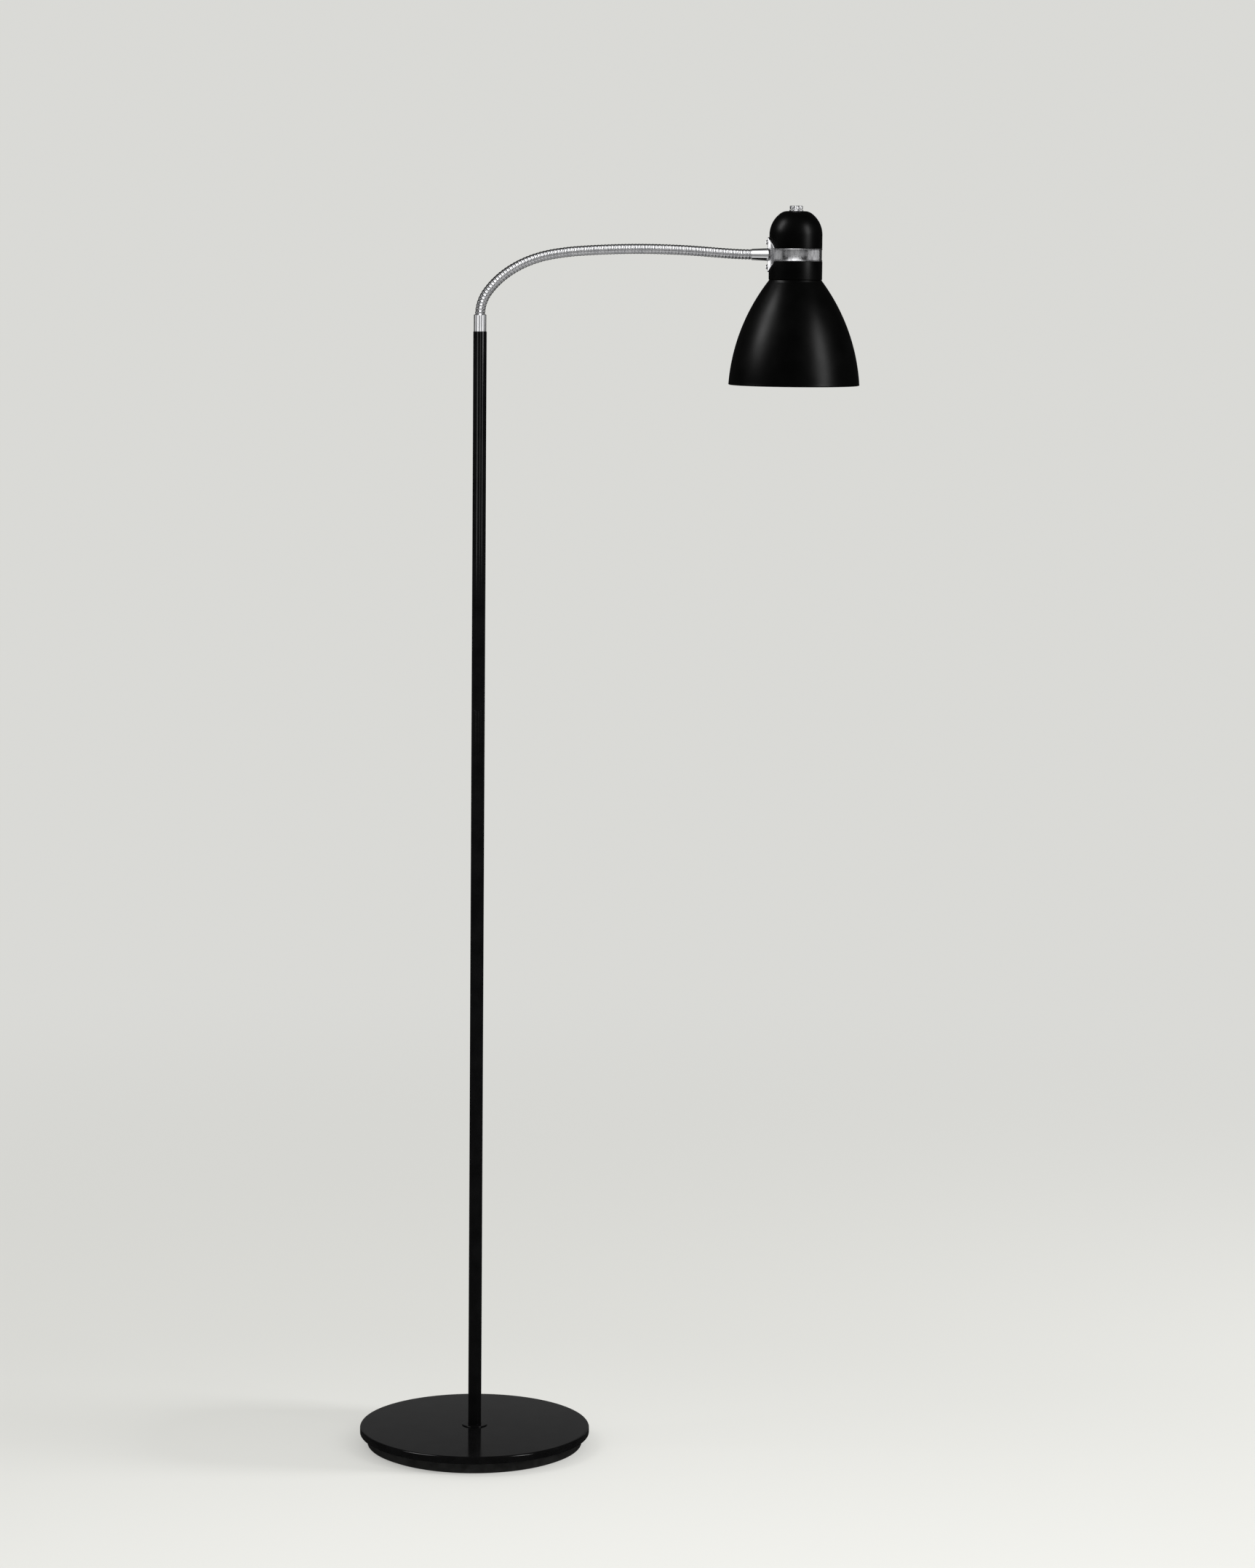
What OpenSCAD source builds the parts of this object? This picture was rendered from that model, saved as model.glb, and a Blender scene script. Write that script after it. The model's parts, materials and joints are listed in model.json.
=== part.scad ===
/* [Base] */
// Diameter of the pressed cover of the base
base_d = 280; // [220:1:340]
// Height of the cover's rim
cover_rim_h = 8.9; // [7:0.1:14]
// Sheet thickness of the cover
cover_wall = 1.5; // [1:0.1:2]
// Rounding of the cover's top edge
cover_round = 2.6; // [2.2:0.1:4]
// How far the weight's lower ring stands back from the rim
weight_inset = 9; // [4:0.5:20]
// Height of the weight's lower ring
weight_ring_h = 13.1; // [12.5:0.1:20]
// Width of the weight's lower ring
weight_ring_w = 31; // [24:1:40]
// Thickness of the felt under the base
felt_t = 2; // [1:0.5:4]
// How far the felt stands back from the weight's ring
felt_inset = 5; // [2:0.5:10]
// Thickness of the plate that closes the base from below
bottom_plate_t = 1.5; // [1.5:0.1:2.5]
// Diameter of the thin disc round the stem's foot
escutcheon_d = 31; // [24:1:45]
// Thickness of the disc round the stem's foot
escutcheon_t = 1.3; // [1:0.1:3]
// Bore of the cord bush
cord_bore_d = 6.4; // [5:0.1:7]

/* [Stem] */
// Outer diameter of the stem
stem_d = 16; // [15.6:0.2:22]
// Wall of the stem's tube
stem_wall = 1.2; // [1:0.1:1.5]
// Length of the lower stem section
lower_stem_len = 880; // [600:1:1100]
// Length of the upper stem section
upper_stem_len = 450.6; // [300:0.1:600]
// Length of the plug that joins the two sections
joiner_len = 40; // [30:1:80]

/* [Gooseneck] */
// Outer diameter of the flexible tube
neck_d = 12; // [11.6:0.1:13]
// Bore of the flexible tube
neck_bore_d = 3; // [2.4:0.1:3.2]
// Length of the flexible tube between its two sleeves
neck_len = 356.4; // [290:0.1:430]
// How far the sleeve on the stem stands back from the stem's surface
ferrule_inset = 0.6; // [0.2:0.1:0.8]
// Length of the sleeve on the stem
ferrule_len = 20; // [18:0.5:30]
// Length of the sleeve on the lamp head
end_sleeve_len = 18.8; // [16:0.1:30]
// How far the tube's ends reach into the sleeves
neck_insert = 12; // [8:0.5:12]

/* [Head] */
// Outer diameter of the domed cap
cap_d = 62.6; // [60:0.1:76]
// Wall of the cap and the collar
cap_wall = 1.4; // [1:0.1:1.8]
// Height of the cap's straight side
cap_side_h = 15.8; // [14:0.1:24]
// Height of the cap's dome
cap_dome_h = 27.9; // [27:0.1:30]
// Height of the chrome band
band_h = 15.1; // [12:0.1:18]
// Height of the collar
collar_h = 21.7; // [20:0.1:30]
// Diameter of the round saddle that joins the arm to the head
saddle_d = 41; // [38:0.5:44]
// Thickness of the saddle
saddle_t = 1.75; // [1.2:0.05:2.5]
// Distance between the two saddle screws
saddle_screw_gap = 29; // [26:0.5:32]

/* [Shade] */
// Height of the shade
shade_h = 124; // [95:1:160]
// Outer radius of the shade at its top
shade_top_r = 31.6; // [30:0.1:36]
// Outer radius of the shade at its rim
shade_rim_r = 77.7; // [60:0.1:100]
// Radius of the shade's curved side
shade_side_r = 228; // [160:1:400]
// Sheet thickness of the shade
shade_wall = 0.8; // [0.6:0.1:1.2]
// Radius of the rolled bead at the rim
rim_bead_r = 1.2; // [1.1:0.1:2]

/* [Lamp and switch] */
// Diameter of the bulb's glass
bulb_d = 60; // [45:1:60]
// Length of the bulb from its tip to the end of its screw cap
bulb_len = 100; // [80:1:106]
// Diameter of the bulb's screw cap
screw_cap_d = 26.2; // [26:0.1:26.4]
// Diameter of the switch knob
knob_d = 15.6; // [14:0.1:20]
// Height of the switch knob
knob_h = 4.2; // [3.6:0.1:8]
// Number of flutes round the knob
knob_flutes = 12; // [8:1:16]

/* [Hidden] */
$fn = 64;

// How much the gooseneck turns at each of its pivots, from the stem to the head, in degrees
neck_turn = [36, 17, 14, 12, 6, 2, 1.5, 2, 1.5, 2, 0, -4];
pivots = len(neck_turn);
link_len = neck_len / pivots;

// Clearances
slip_gap = 0.1;
loose_gap = 0.2;
running_gap = 0.05;
link_gap = 0.7;

// Heights, from the floor up
felt_z = 0;
ring_z = felt_z + felt_t;
rim_z = ring_z + weight_ring_h;
base_z = rim_z + cover_rim_h;
seam_z = base_z + lower_stem_len;
stem_z = seam_z + upper_stem_len;
neck_z = stem_z + ferrule_len;

// Base
weight_d = base_d - 2 * weight_inset;
cavity_r = weight_d / 2 - weight_ring_w;
plate_step = 7;
plate_r = cavity_r + plate_step;
plate_screws = 3;
plate_screw_r = cavity_r + plate_step / 2;
small_screw_d = 3;
small_head_d = 5.6;
small_head_h = 1.4;
plate_screw_len = 8;
bush_d = 9;
bush_len = 14;
bush_flange_d = 12;
bush_flange_t = 2.5;
bush_z = ring_z + weight_ring_h / 2;
lead_hole_d = 7;

// Threaded tubes, nuts and washers
foot_tube_d = 10;
foot_tube_bore = 6.2;
foot_tube_below = 6.5;
foot_tube_above = 14;
foot_nut_af = 14;
foot_nut_t = 4;
foot_washer_d = 22;
foot_washer_t = 1.5;
neck_tube_d = 8;
neck_tube_bore = 5;
neck_tube_reach = 12;
tube_proud = 0.5;

// Stem
stem_bore_r = stem_d / 2 - stem_wall;
ferrule_d = stem_d - 2 * ferrule_inset;
foot_plug_len = 18;
top_plug_len = 18;
joiner_bore_d = 7;
flex_d = 4.2;
flex_z = ring_z + bottom_plate_t + flex_d / 2 + 0.6;
block_x = 30;
block_len = 24;
block_w = 18;
block_h = rim_z - flex_z + flex_d / 2;
block_bore_d = 3;
block_bore_gap = 8;

// Links of the gooseneck: a ball on each link turns in a cup on the link before it
cup_r = neck_d / 2 - 1;
ball_r = cup_r - loose_gap;
cup_lip = 1.5;
waist_r = 2.2;
clear_r = norm([cup_lip, neck_d / 2]) + link_gap;

// The gooseneck's centre line, as [x, z] points and headings above the horizontal
function total(v, n) = n <= 0 ? 0 : v[n - 1] + total(v, n - 1);
function heading(k) = 90 - total(neck_turn, k);
function along(h, distance) = distance * [cos(h), sin(h)];
function pivot(k) =
    k == 0 ? [0, neck_z + link_len / 2] : pivot(k - 1) + along(heading(k), link_len);

// Head
neck_end = pivot(pivots - 1) + along(heading(pivots), link_len / 2);
arm_z = neck_end[1];
cap_r = cap_d / 2;
saddle_gap = 0.15;
saddle_in_r = cap_r + saddle_gap;
saddle_r = saddle_in_r + saddle_t;
head_x = neck_end[0] + end_sleeve_len + saddle_r;
band_z = arm_z - band_h / 2;
cap_z = band_z + band_h;
dome_z = cap_z + cap_side_h;
cap_top_z = dome_z + cap_dome_h;
collar_z = band_z - collar_h;
collar_step = 0.35;
collar_r = cap_r + collar_step;
rim_low_z = collar_z - shade_h;
end_sleeve_d1 = 13;
end_sleeve_d2 = 14.6;
band_inset = 0.3;
band_r = cap_r - band_inset;
bead_r = 0.9;
bead_in = 0.6;
inner_r = cap_r - cap_wall - slip_gap;
inner_wall = 1.6;
inner_foot_gap = 2.4;
inner_rise = 0.4;
inner_bottom_z = collar_z + inner_foot_gap;
inner_top_z = dome_z + inner_rise;
inner_lip = 5.5;
inner_lip_t = 1.5;
saddle_head_d = 6.4;
saddle_head_h = 2.2;
saddle_shank_len = 6;
slot_w = 0.8;
slot_depth = 0.8;
neck_nut_af = 12;
neck_nut_t = 4;
neck_nut_x = sqrt(pow(inner_r - inner_wall, 2) - pow(neck_nut_af / sqrt(3), 2)) - slip_gap;

// Lampholder, hung from a bridge across the head
holder_r = 20;
holder_flange_r = 23;
holder_flange_t = 2.6;
collar_flange_t = 1.4;
holder_flange_z = collar_z + collar_flange_t;
skirt_below = 9;
skirt_above = 20.6;
skirt_bottom_z = collar_z - skirt_below;
skirt_top_z = holder_flange_z + skirt_above;
skirt_bore_r = 14.6;
shade_ring_r = 26;
shade_ring_h = 7.4;
shade_flange_t = 1.2;
shade_seam_in = 0.6;
holder_cap_h = 20;
holder_top_z = skirt_top_z + holder_cap_h;
holder_cap_wall = 2.6;
bridge_t = 1.5;
bridge_z = inner_top_z - inner_lip_t - bridge_t;
bridge_screw_in = 3.4;
bridge_screw_r = inner_r - inner_wall - bridge_screw_in;
bridge_notch_w = 8;
holder_tube_bore = 6.5;
insert_r = 16.8;
insert_h = 7.8;
insert_bore_r = 1.6;
shell_gap = 0.4;
shell_wall = 0.9;
shell_r = screw_cap_d / 2 + shell_gap + shell_wall;
shell_len = 21;
contact_r = 4;
contact_t = 1.2;
lead_r = 1;
lead_y = 1.5;
lead_x = head_x - holder_r - lead_r - loose_gap;

// Bulb
bulb_tip_z = skirt_top_z + slip_gap - contact_t;
bulb_tip_h = 3;
bulb_tip_r = 4.5;
screw_cap_h = 21;
screw_cap_z = bulb_tip_z - bulb_tip_h - screw_cap_h;
screw_cap_wall = 0.8;
glass_wall = 1;
glass_neck_r = screw_cap_d / 2 - screw_cap_wall - slip_gap;
glass_low_z = bulb_tip_z - bulb_len;
glass_z = glass_low_z + bulb_d / 2;
glass_taper = 35;

// Switch
switch_d = 24;
switch_h = 16;
bush_tube_d = 10;
switch_ring_d = 16.4;
switch_ring_t = 1.6;
shaft_d = 6;
shaft_depth = 11;
knob_gap = 0.6;
knob_z = cap_top_z + switch_ring_t + knob_gap;
knob_bore_depth = 3;
flute_d = 2;
switch_top_z = cap_top_z - cap_wall;
lead_top_z = switch_top_z - switch_h;
lead_end_x = head_x - 8;

PLAIN_NODES = [
    "felt_pad", "bottom_plate", "bottom_plate_screws", "base_weight", "base_cover", "escutcheon",
    "cord_bush", "terminal_block", "foot_tube", "foot_washer", "foot_nut", "foot_plug",
    "lower_stem", "stem_joiner", "upper_stem", "top_plug", "stem_flex", "neck_tube", "ferrule",
    "end_sleeve", "head_tube", "head_nut", "band", "saddle_screws", "inner_sleeve", "dome_cap",
    "collar", "shade", "shade_ring", "holder_skirt", "holder_cap", "holder_insert", "screw_shell",
    "centre_contact", "holder_tube", "holder_nut", "bridge", "bridge_screws", "bulb_glass",
    "bulb_cap", "head_leads", "switch_body", "switch_ring", "switch_shaft", "switch_knob"
];
LINK_NODES = [for (k = [0 : pivots]) str("neck_link_", k < 9 ? "0" : "", k + 1)];

// Shared shapes
module tube(d, bore, h) {
    difference() {
        cylinder(d = d, h = h);
        translate([0, 0, -1]) cylinder(d = bore, h = h + 2);
    }
}

// A hexagon nut of the given width across its flats
module nut(af, bore, t) {
    difference() {
        cylinder(d = af / cos(30), h = t, $fn = 6);
        translate([0, 0, -1]) cylinder(d = bore, h = t + 2);
    }
}

// Half the section of a disc whose top edge is rounded
module rounded_section(r, h, corner) {
    square([r, h - corner]);
    square([r - corner, h]);
    translate([r - corner, h - corner]) circle(r = corner);
}

module countersunk_screw(length) {
    cylinder(d1 = small_head_d, d2 = small_screw_d, h = small_head_h);
    cylinder(d = small_screw_d, h = length);
}

// Puts its children at a point of the arm's plane, with their Z axis at heading h
module at(point, h) {
    translate([point[0], 0, point[1]]) rotate([0, 90 - h, 0]) children();
}

// Base
module felt_pad() {
    color("#1c1c1c") translate([0, 0, felt_z]) cylinder(r = weight_d / 2 - felt_inset, h = felt_t);
}

module plate_screw_places() {
    for (i = [0 : plate_screws - 1])
        rotate([0, 0, 30 + 360 / plate_screws * i])
            translate([plate_screw_r, 0, ring_z])
                children();
}

module bottom_plate() {
    color("#8c8f92") difference() {
        translate([0, 0, ring_z]) cylinder(r = plate_r - loose_gap, h = bottom_plate_t);
        plate_screw_places() countersunk_screw(plate_screw_len);
    }
}

module bottom_plate_screws() {
    color("#b9bbbd") plate_screw_places() countersunk_screw(plate_screw_len);
}

module base_weight() {
    color("#161616") difference() {
        union() {
            translate([0, 0, ring_z]) cylinder(d = weight_d, h = weight_ring_h);
            translate([0, 0, rim_z])
                rotate_extrude()
                    rounded_section(base_d / 2 - cover_wall - loose_gap, cover_rim_h - cover_wall,
                                    cover_round - cover_wall + loose_gap);
        }
        translate([0, 0, ring_z - 1]) cylinder(r = cavity_r, h = weight_ring_h + 1);
        translate([0, 0, ring_z - 1]) cylinder(r = plate_r, h = bottom_plate_t + 1);
        cylinder(d = foot_tube_d + 2 * loose_gap, h = base_z);
        plate_screw_places() cylinder(d = small_screw_d, h = plate_screw_len);
        translate([0, weight_d / 2 - bush_len, bush_z])
            rotate([-90, 0, 0])
                cylinder(d = bush_d, h = bush_len + 1);
        translate([0, cavity_r - 1, bush_z])
            rotate([-90, 0, 0])
                cylinder(d = lead_hole_d, h = weight_ring_w);
    }
}

module base_cover() {
    color("#050505") difference() {
        translate([0, 0, rim_z])
            rotate_extrude()
                difference() {
                    rounded_section(base_d / 2, cover_rim_h, cover_round);
                    rounded_section(base_d / 2 - cover_wall, cover_rim_h - cover_wall,
                                    cover_round - cover_wall);
                }
        cylinder(d = foot_tube_d + 2 * loose_gap, h = base_z + 1);
    }
}

module escutcheon() {
    color("#050505") difference() {
        translate([0, 0, base_z])
            rotate_extrude()
                rounded_section(escutcheon_d / 2, escutcheon_t, escutcheon_t / 2);
        cylinder(d = stem_d + 2 * slip_gap, h = base_z + escutcheon_t + 1);
    }
}

module cord_bush() {
    color("#101010") translate([0, weight_d / 2 - bush_len, bush_z]) rotate([-90, 0, 0])
        difference() {
            union() {
                cylinder(d = bush_d, h = bush_len);
                translate([0, 0, bush_len]) cylinder(d = bush_flange_d, h = bush_flange_t);
            }
            translate([0, 0, -1]) cylinder(d = cord_bore_d, h = bush_len + bush_flange_t + 2);
        }
}

module terminal_block() {
    color("#d9d6cc") difference() {
        translate([block_x, -block_w / 2, rim_z - block_h]) cube([block_len, block_w, block_h]);
        for (side = [-1, 1])
            translate([block_x - 1, side * block_bore_gap / 2, rim_z - block_h / 3])
                rotate([0, 90, 0])
                    cylinder(d = block_bore_d, h = block_len + 2);
    }
}

module foot_tube() {
    color("#c9a54a") translate([0, 0, rim_z - foot_tube_below])
        tube(foot_tube_d, foot_tube_bore, foot_tube_below + cover_rim_h + foot_tube_above);
}

module foot_washer() {
    color("#b9bbbd") translate([0, 0, rim_z - foot_washer_t])
        tube(foot_washer_d, foot_tube_d, foot_washer_t);
}

module foot_nut() {
    color("#b9bbbd") translate([0, 0, rim_z - foot_washer_t - foot_nut_t])
        nut(foot_nut_af, foot_tube_d, foot_nut_t);
}

// Stem
module foot_plug() {
    color("#9a9c9e") translate([0, 0, base_z]) difference() {
        cylinder(r = stem_bore_r, h = foot_plug_len);
        translate([0, 0, -1]) cylinder(d = foot_tube_d, h = foot_tube_above + 1);
        cylinder(d = foot_tube_bore, h = foot_plug_len + 1);
    }
}

module lower_stem() {
    color("#050505") translate([0, 0, base_z]) tube(stem_d, 2 * stem_bore_r, lower_stem_len);
}

module stem_joiner() {
    color("#9a9c9e") translate([0, 0, seam_z - joiner_len / 2])
        tube(2 * stem_bore_r, joiner_bore_d, joiner_len);
}

module upper_stem() {
    color("#050505") translate([0, 0, seam_z]) tube(stem_d, 2 * stem_bore_r, upper_stem_len);
}

module top_plug() {
    color("#9a9c9e") translate([0, 0, stem_z - top_plug_len])
        tube(2 * stem_bore_r, neck_tube_d, top_plug_len);
}

module stem_flex() {
    color("#e8e6e0") {
        translate([0, 0, flex_z]) cylinder(d = flex_d, h = stem_z - flex_z);
        translate([0, 0, flex_z]) rotate([0, 90, 0]) cylinder(d = flex_d, h = block_x);
        translate([0, 0, flex_z]) sphere(d = flex_d);
    }
}

module neck_tube() {
    color("#c9a54a") translate([0, 0, stem_z - neck_tube_reach])
        tube(neck_tube_d, neck_tube_bore, neck_tube_reach + ferrule_len - neck_insert);
}

module ferrule() {
    color("#d2d4d6") translate([0, 0, stem_z]) difference() {
        cylinder(d = ferrule_d, h = ferrule_len);
        translate([0, 0, -1]) cylinder(d = neck_tube_d, h = ferrule_len);
        translate([0, 0, ferrule_len - neck_insert]) cylinder(d = neck_d, h = neck_insert + 1);
    }
}

// Gooseneck: link k runs straight from the pivot before it to the pivot after it
module neck_link(k) {
    first = k == 0;
    last = k == pivots;
    start = first ? [0, neck_z - neck_insert] : pivot(k - 1);
    length = first || last ? link_len / 2 + neck_insert : link_len;
    color("#c4c6c8") at(start, heading(k)) difference() {
        union() {
            difference() {
                cylinder(d = neck_d, h = last ? length : length + cup_lip);
                if (!first) sphere(r = clear_r);
            }
            if (!first) {
                sphere(r = ball_r);
                cylinder(r = waist_r, h = clear_r + 1);
            }
        }
        translate([0, 0, -2 * ball_r]) cylinder(d = neck_bore_d, h = length + 4 * ball_r);
        if (!last) translate([0, 0, length]) sphere(r = cup_r);
    }
}

// Head: its own axis is upright, at x = head_x
module on_head_axis(z) {
    translate([head_x, 0, z]) children();
}

// Puts its children on the arm's axis, d from the head's axis, with their Z pointing to the head
module on_arm_axis(d, z = 0) {
    translate([head_x - d, 0, arm_z + z]) rotate([0, 90, 0]) children();
}

module end_sleeve() {
    color("#d2d4d6") difference() {
        on_arm_axis(end_sleeve_len + saddle_r)
            cylinder(d1 = end_sleeve_d1, d2 = end_sleeve_d2, h = end_sleeve_len + 1);
        on_head_axis(arm_z - saddle_d / 2) cylinder(r = saddle_r, h = saddle_d);
        on_arm_axis(end_sleeve_len + saddle_r + 1) cylinder(d = neck_d, h = neck_insert + 1);
        on_arm_axis(end_sleeve_len + saddle_r) cylinder(d = neck_tube_d, h = end_sleeve_len + 2);
    }
}

module head_tube() {
    color("#c9a54a") on_arm_axis(end_sleeve_len + saddle_r - neck_insert)
        tube(neck_tube_d, neck_tube_bore,
             end_sleeve_len + saddle_r - neck_insert - neck_nut_x + neck_nut_t + tube_proud);
}

module head_nut() {
    color("#b9bbbd") on_arm_axis(neck_nut_x) nut(neck_nut_af, neck_tube_d, neck_nut_t);
}

module saddle_screw_places() {
    for (side = [-1, 1]) on_arm_axis(saddle_r, side * saddle_screw_gap / 2) children();
}

// A ring round the head's axis
module head_ring(z, h, r_out, r_in) {
    on_head_axis(z) tube(2 * r_out, 2 * r_in, h);
}

module band() {
    color("#c4c6c8") difference() {
        union() {
            head_ring(band_z, band_h, band_r, inner_r + slip_gap);
            for (edge_z = [band_z + bead_r, band_z + band_h - bead_r])
                on_head_axis(edge_z)
                    rotate_extrude()
                        translate([band_r - bead_r + bead_in, 0])
                            circle(r = bead_r);
            intersection() {
                union() {
                    head_ring(arm_z - saddle_d, 2 * saddle_d, saddle_r, saddle_in_r);
                    head_ring(band_z + slip_gap, band_h - 2 * slip_gap, saddle_r, band_r - 0.5);
                }
                on_arm_axis(saddle_r + 1) cylinder(d = saddle_d, h = saddle_r);
            }
        }
        on_arm_axis(saddle_r + 1) cylinder(d = neck_tube_d, h = saddle_r / 2);
        saddle_screw_places() cylinder(d = small_screw_d, h = saddle_shank_len);
    }
}

module saddle_screws() {
    color("#d2d4d6") saddle_screw_places() {
        cylinder(d = small_screw_d, h = saddle_shank_len);
        difference() {
            translate([0, 0, -saddle_head_h]) intersection() {
                cylinder(d = saddle_head_d, h = saddle_head_h);
                translate([0, 0, saddle_head_d / 2]) sphere(d = saddle_head_d);
            }
            translate([-saddle_head_d, -slot_w / 2, -saddle_head_h - 1])
                cube([2 * saddle_head_d, slot_w, 1 + slot_depth]);
        }
    }
}

module inner_sleeve() {
    color("#9a9c9e") difference() {
        head_ring(inner_bottom_z, inner_top_z - inner_bottom_z, inner_r, inner_r - inner_wall - inner_lip);
        on_head_axis(inner_bottom_z - 1)
            cylinder(r = inner_r - inner_wall, h = inner_top_z - inner_lip_t - inner_bottom_z + 1);
        on_arm_axis(saddle_r) cylinder(d = neck_tube_d, h = saddle_r / 2);
        saddle_screw_places() cylinder(d = small_screw_d, h = saddle_shank_len);
        bridge_screw_places() cylinder(d = small_screw_d, h = bridge_t + inner_lip_t + 1);
    }
}

// Half the section of the cap's outside, or of its inside when it is grown inwards by wall
module dome_section(wall) {
    intersection() {
        union() {
            translate([0, cap_side_h]) circle(r = cap_r - wall);
            square([cap_r - wall, cap_side_h]);
        }
        square([cap_r, cap_side_h + cap_dome_h - wall]);
    }
}

module dome_cap() {
    color("#080808") difference() {
        on_head_axis(cap_z) rotate_extrude() difference() {
            dome_section(0);
            dome_section(cap_wall);
        }
        on_head_axis(cap_top_z - 2 * cap_wall) cylinder(d = bush_tube_d, h = 3 * cap_wall);
        saddle_screw_places() cylinder(d = small_screw_d, h = saddle_shank_len);
    }
}

module collar() {
    color("#080808") difference() {
        union() {
            head_ring(collar_z, collar_h, collar_r, cap_r - cap_wall);
            head_ring(collar_z, collar_flange_t, collar_r - cap_wall / 2, holder_r + loose_gap);
        }
        saddle_screw_places() cylinder(d = small_screw_d, h = saddle_shank_len);
        // The saddle lies over the collar, which steps back to the cap's size under it
        difference() {
            on_arm_axis(saddle_r + 1) cylinder(d = saddle_d + 2 * slip_gap, h = saddle_r);
            head_ring(collar_z - 1, collar_h + 2, saddle_in_r - slip_gap, 1);
        }
    }
}

// Centre of the arc through the shade's top and rim, from the rim's centre
function arc_centre(top, rim, r) =
    let (half = (rim - top) / 2, side = [half[1], -half[0]] / norm(half))
    top + half + side * sqrt(r * r - half * half);

module shade() {
    side_h = shade_h - shade_flange_t;
    centre = arc_centre([shade_top_r, side_h], [shade_rim_r, 0], shade_side_r);
    color("#080808") on_head_axis(rim_low_z) rotate_extrude() {
        intersection() {
            difference() {
                translate(centre) circle(r = shade_side_r);
                translate(centre) circle(r = shade_side_r - shade_wall);
            }
            translate([shade_top_r / 2, rim_bead_r]) square([shade_rim_r, side_h - rim_bead_r]);
        }
        translate([holder_r + loose_gap, side_h])
            square([shade_top_r - shade_seam_in - holder_r - loose_gap, shade_flange_t]);
        translate([shade_rim_r - rim_bead_r, rim_bead_r]) circle(r = rim_bead_r);
    }
}

// Lampholder
module shade_ring() {
    color("#1a1a1a") head_ring(collar_z - shade_flange_t - shade_ring_h, shade_ring_h,
                               shade_ring_r, holder_r);
}

module holder_skirt() {
    color("#141414") on_head_axis(skirt_bottom_z) difference() {
        union() {
            cylinder(r = holder_r, h = skirt_top_z - skirt_bottom_z);
            translate([0, 0, holder_flange_z - skirt_bottom_z])
                cylinder(r = holder_flange_r, h = holder_flange_t);
        }
        translate([0, 0, -1]) cylinder(r = skirt_bore_r, h = skirt_top_z - skirt_bottom_z + 2);
    }
}

module holder_cap() {
    color("#141414") on_head_axis(skirt_top_z) difference() {
        cylinder(r = holder_r, h = holder_top_z - skirt_top_z);
        translate([0, 0, -1])
            cylinder(r = insert_r + slip_gap, h = holder_top_z - skirt_top_z - holder_cap_wall + 1);
        cylinder(d = foot_tube_d, h = holder_top_z - skirt_top_z + 1);
    }
}

module holder_insert() {
    color("#e6e2d8") head_ring(skirt_top_z + slip_gap, insert_h, insert_r, insert_bore_r);
}

module screw_shell() {
    color("#c9a54a") head_ring(skirt_top_z + slip_gap - shell_len, shell_len,
                               shell_r, shell_r - shell_wall);
}

module centre_contact() {
    color("#c9a54a") on_head_axis(bulb_tip_z) cylinder(r = contact_r, h = contact_t);
}

module holder_tube() {
    tube_z = holder_top_z - holder_cap_wall;
    color("#c9a54a") on_head_axis(tube_z)
        tube(foot_tube_d, holder_tube_bore, inner_top_z + 2 - tube_z);
}

module holder_nut() {
    color("#b9bbbd") on_head_axis(bridge_z + bridge_t) nut(foot_nut_af, foot_tube_d, foot_nut_t / 2);
}

module bridge_screw_places() {
    for (side = [-1, 1])
        translate([head_x, side * bridge_screw_r, bridge_z])
            children();
}

module bridge() {
    color("#9a9c9e") difference() {
        on_head_axis(bridge_z) cylinder(r = inner_r - inner_wall - slip_gap, h = bridge_t);
        on_head_axis(bridge_z - 1) cylinder(d = foot_tube_d, h = bridge_t + 2);
        bridge_screw_places() countersunk_screw(bridge_t + inner_lip_t);
        translate([head_x - cap_r, -bridge_notch_w / 2, bridge_z - 1])
            cube([cap_r - holder_r + 2, bridge_notch_w, bridge_t + 2]);
    }
}

module bridge_screws() {
    color("#b9bbbd") bridge_screw_places() countersunk_screw(bridge_t + inner_lip_t);
}

// Bulb
module glass_section(wall) {
    ball = bulb_d / 2 - wall;
    neck = glass_neck_r - wall;
    tangent = ball * [cos(glass_taper), sin(glass_taper)];
    taper_h = (tangent[0] - neck) / tan(glass_taper);
    intersection() {
        union() {
            circle(r = ball);
            polygon([[0, 0], tangent, [neck, tangent[1] + taper_h], [0, tangent[1] + taper_h]]);
            square([neck, screw_cap_z + screw_cap_h / 3 - glass_z + (wall > 0 ? 1 : 0)]);
        }
        translate([0, -bulb_d]) square([bulb_d, 3 * bulb_d]);
    }
}

module bulb_glass() {
    color("#f4f2ea") on_head_axis(glass_z) rotate_extrude() difference() {
        glass_section(0);
        glass_section(glass_wall);
    }
}

module bulb_cap() {
    color("#c8c8c4") on_head_axis(screw_cap_z) difference() {
        union() {
            cylinder(d = screw_cap_d, h = screw_cap_h);
            cylinder(r = bulb_tip_r, h = screw_cap_h + bulb_tip_h);
        }
        translate([0, 0, -1]) cylinder(d = screw_cap_d - 2 * screw_cap_wall, h = screw_cap_h);
    }
}

// A round wire along straight runs between points
module wire(points, r) {
    for (i = [0 : len(points) - 2]) {
        run = points[i + 1] - points[i];
        translate(points[i])
            rotate([0, acos(run[2] / norm(run)), atan2(run[1], run[0])])
                cylinder(r = r, h = norm(run));
    }
    for (i = [1 : len(points) - 2]) translate(points[i]) sphere(r = r);
}

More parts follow.
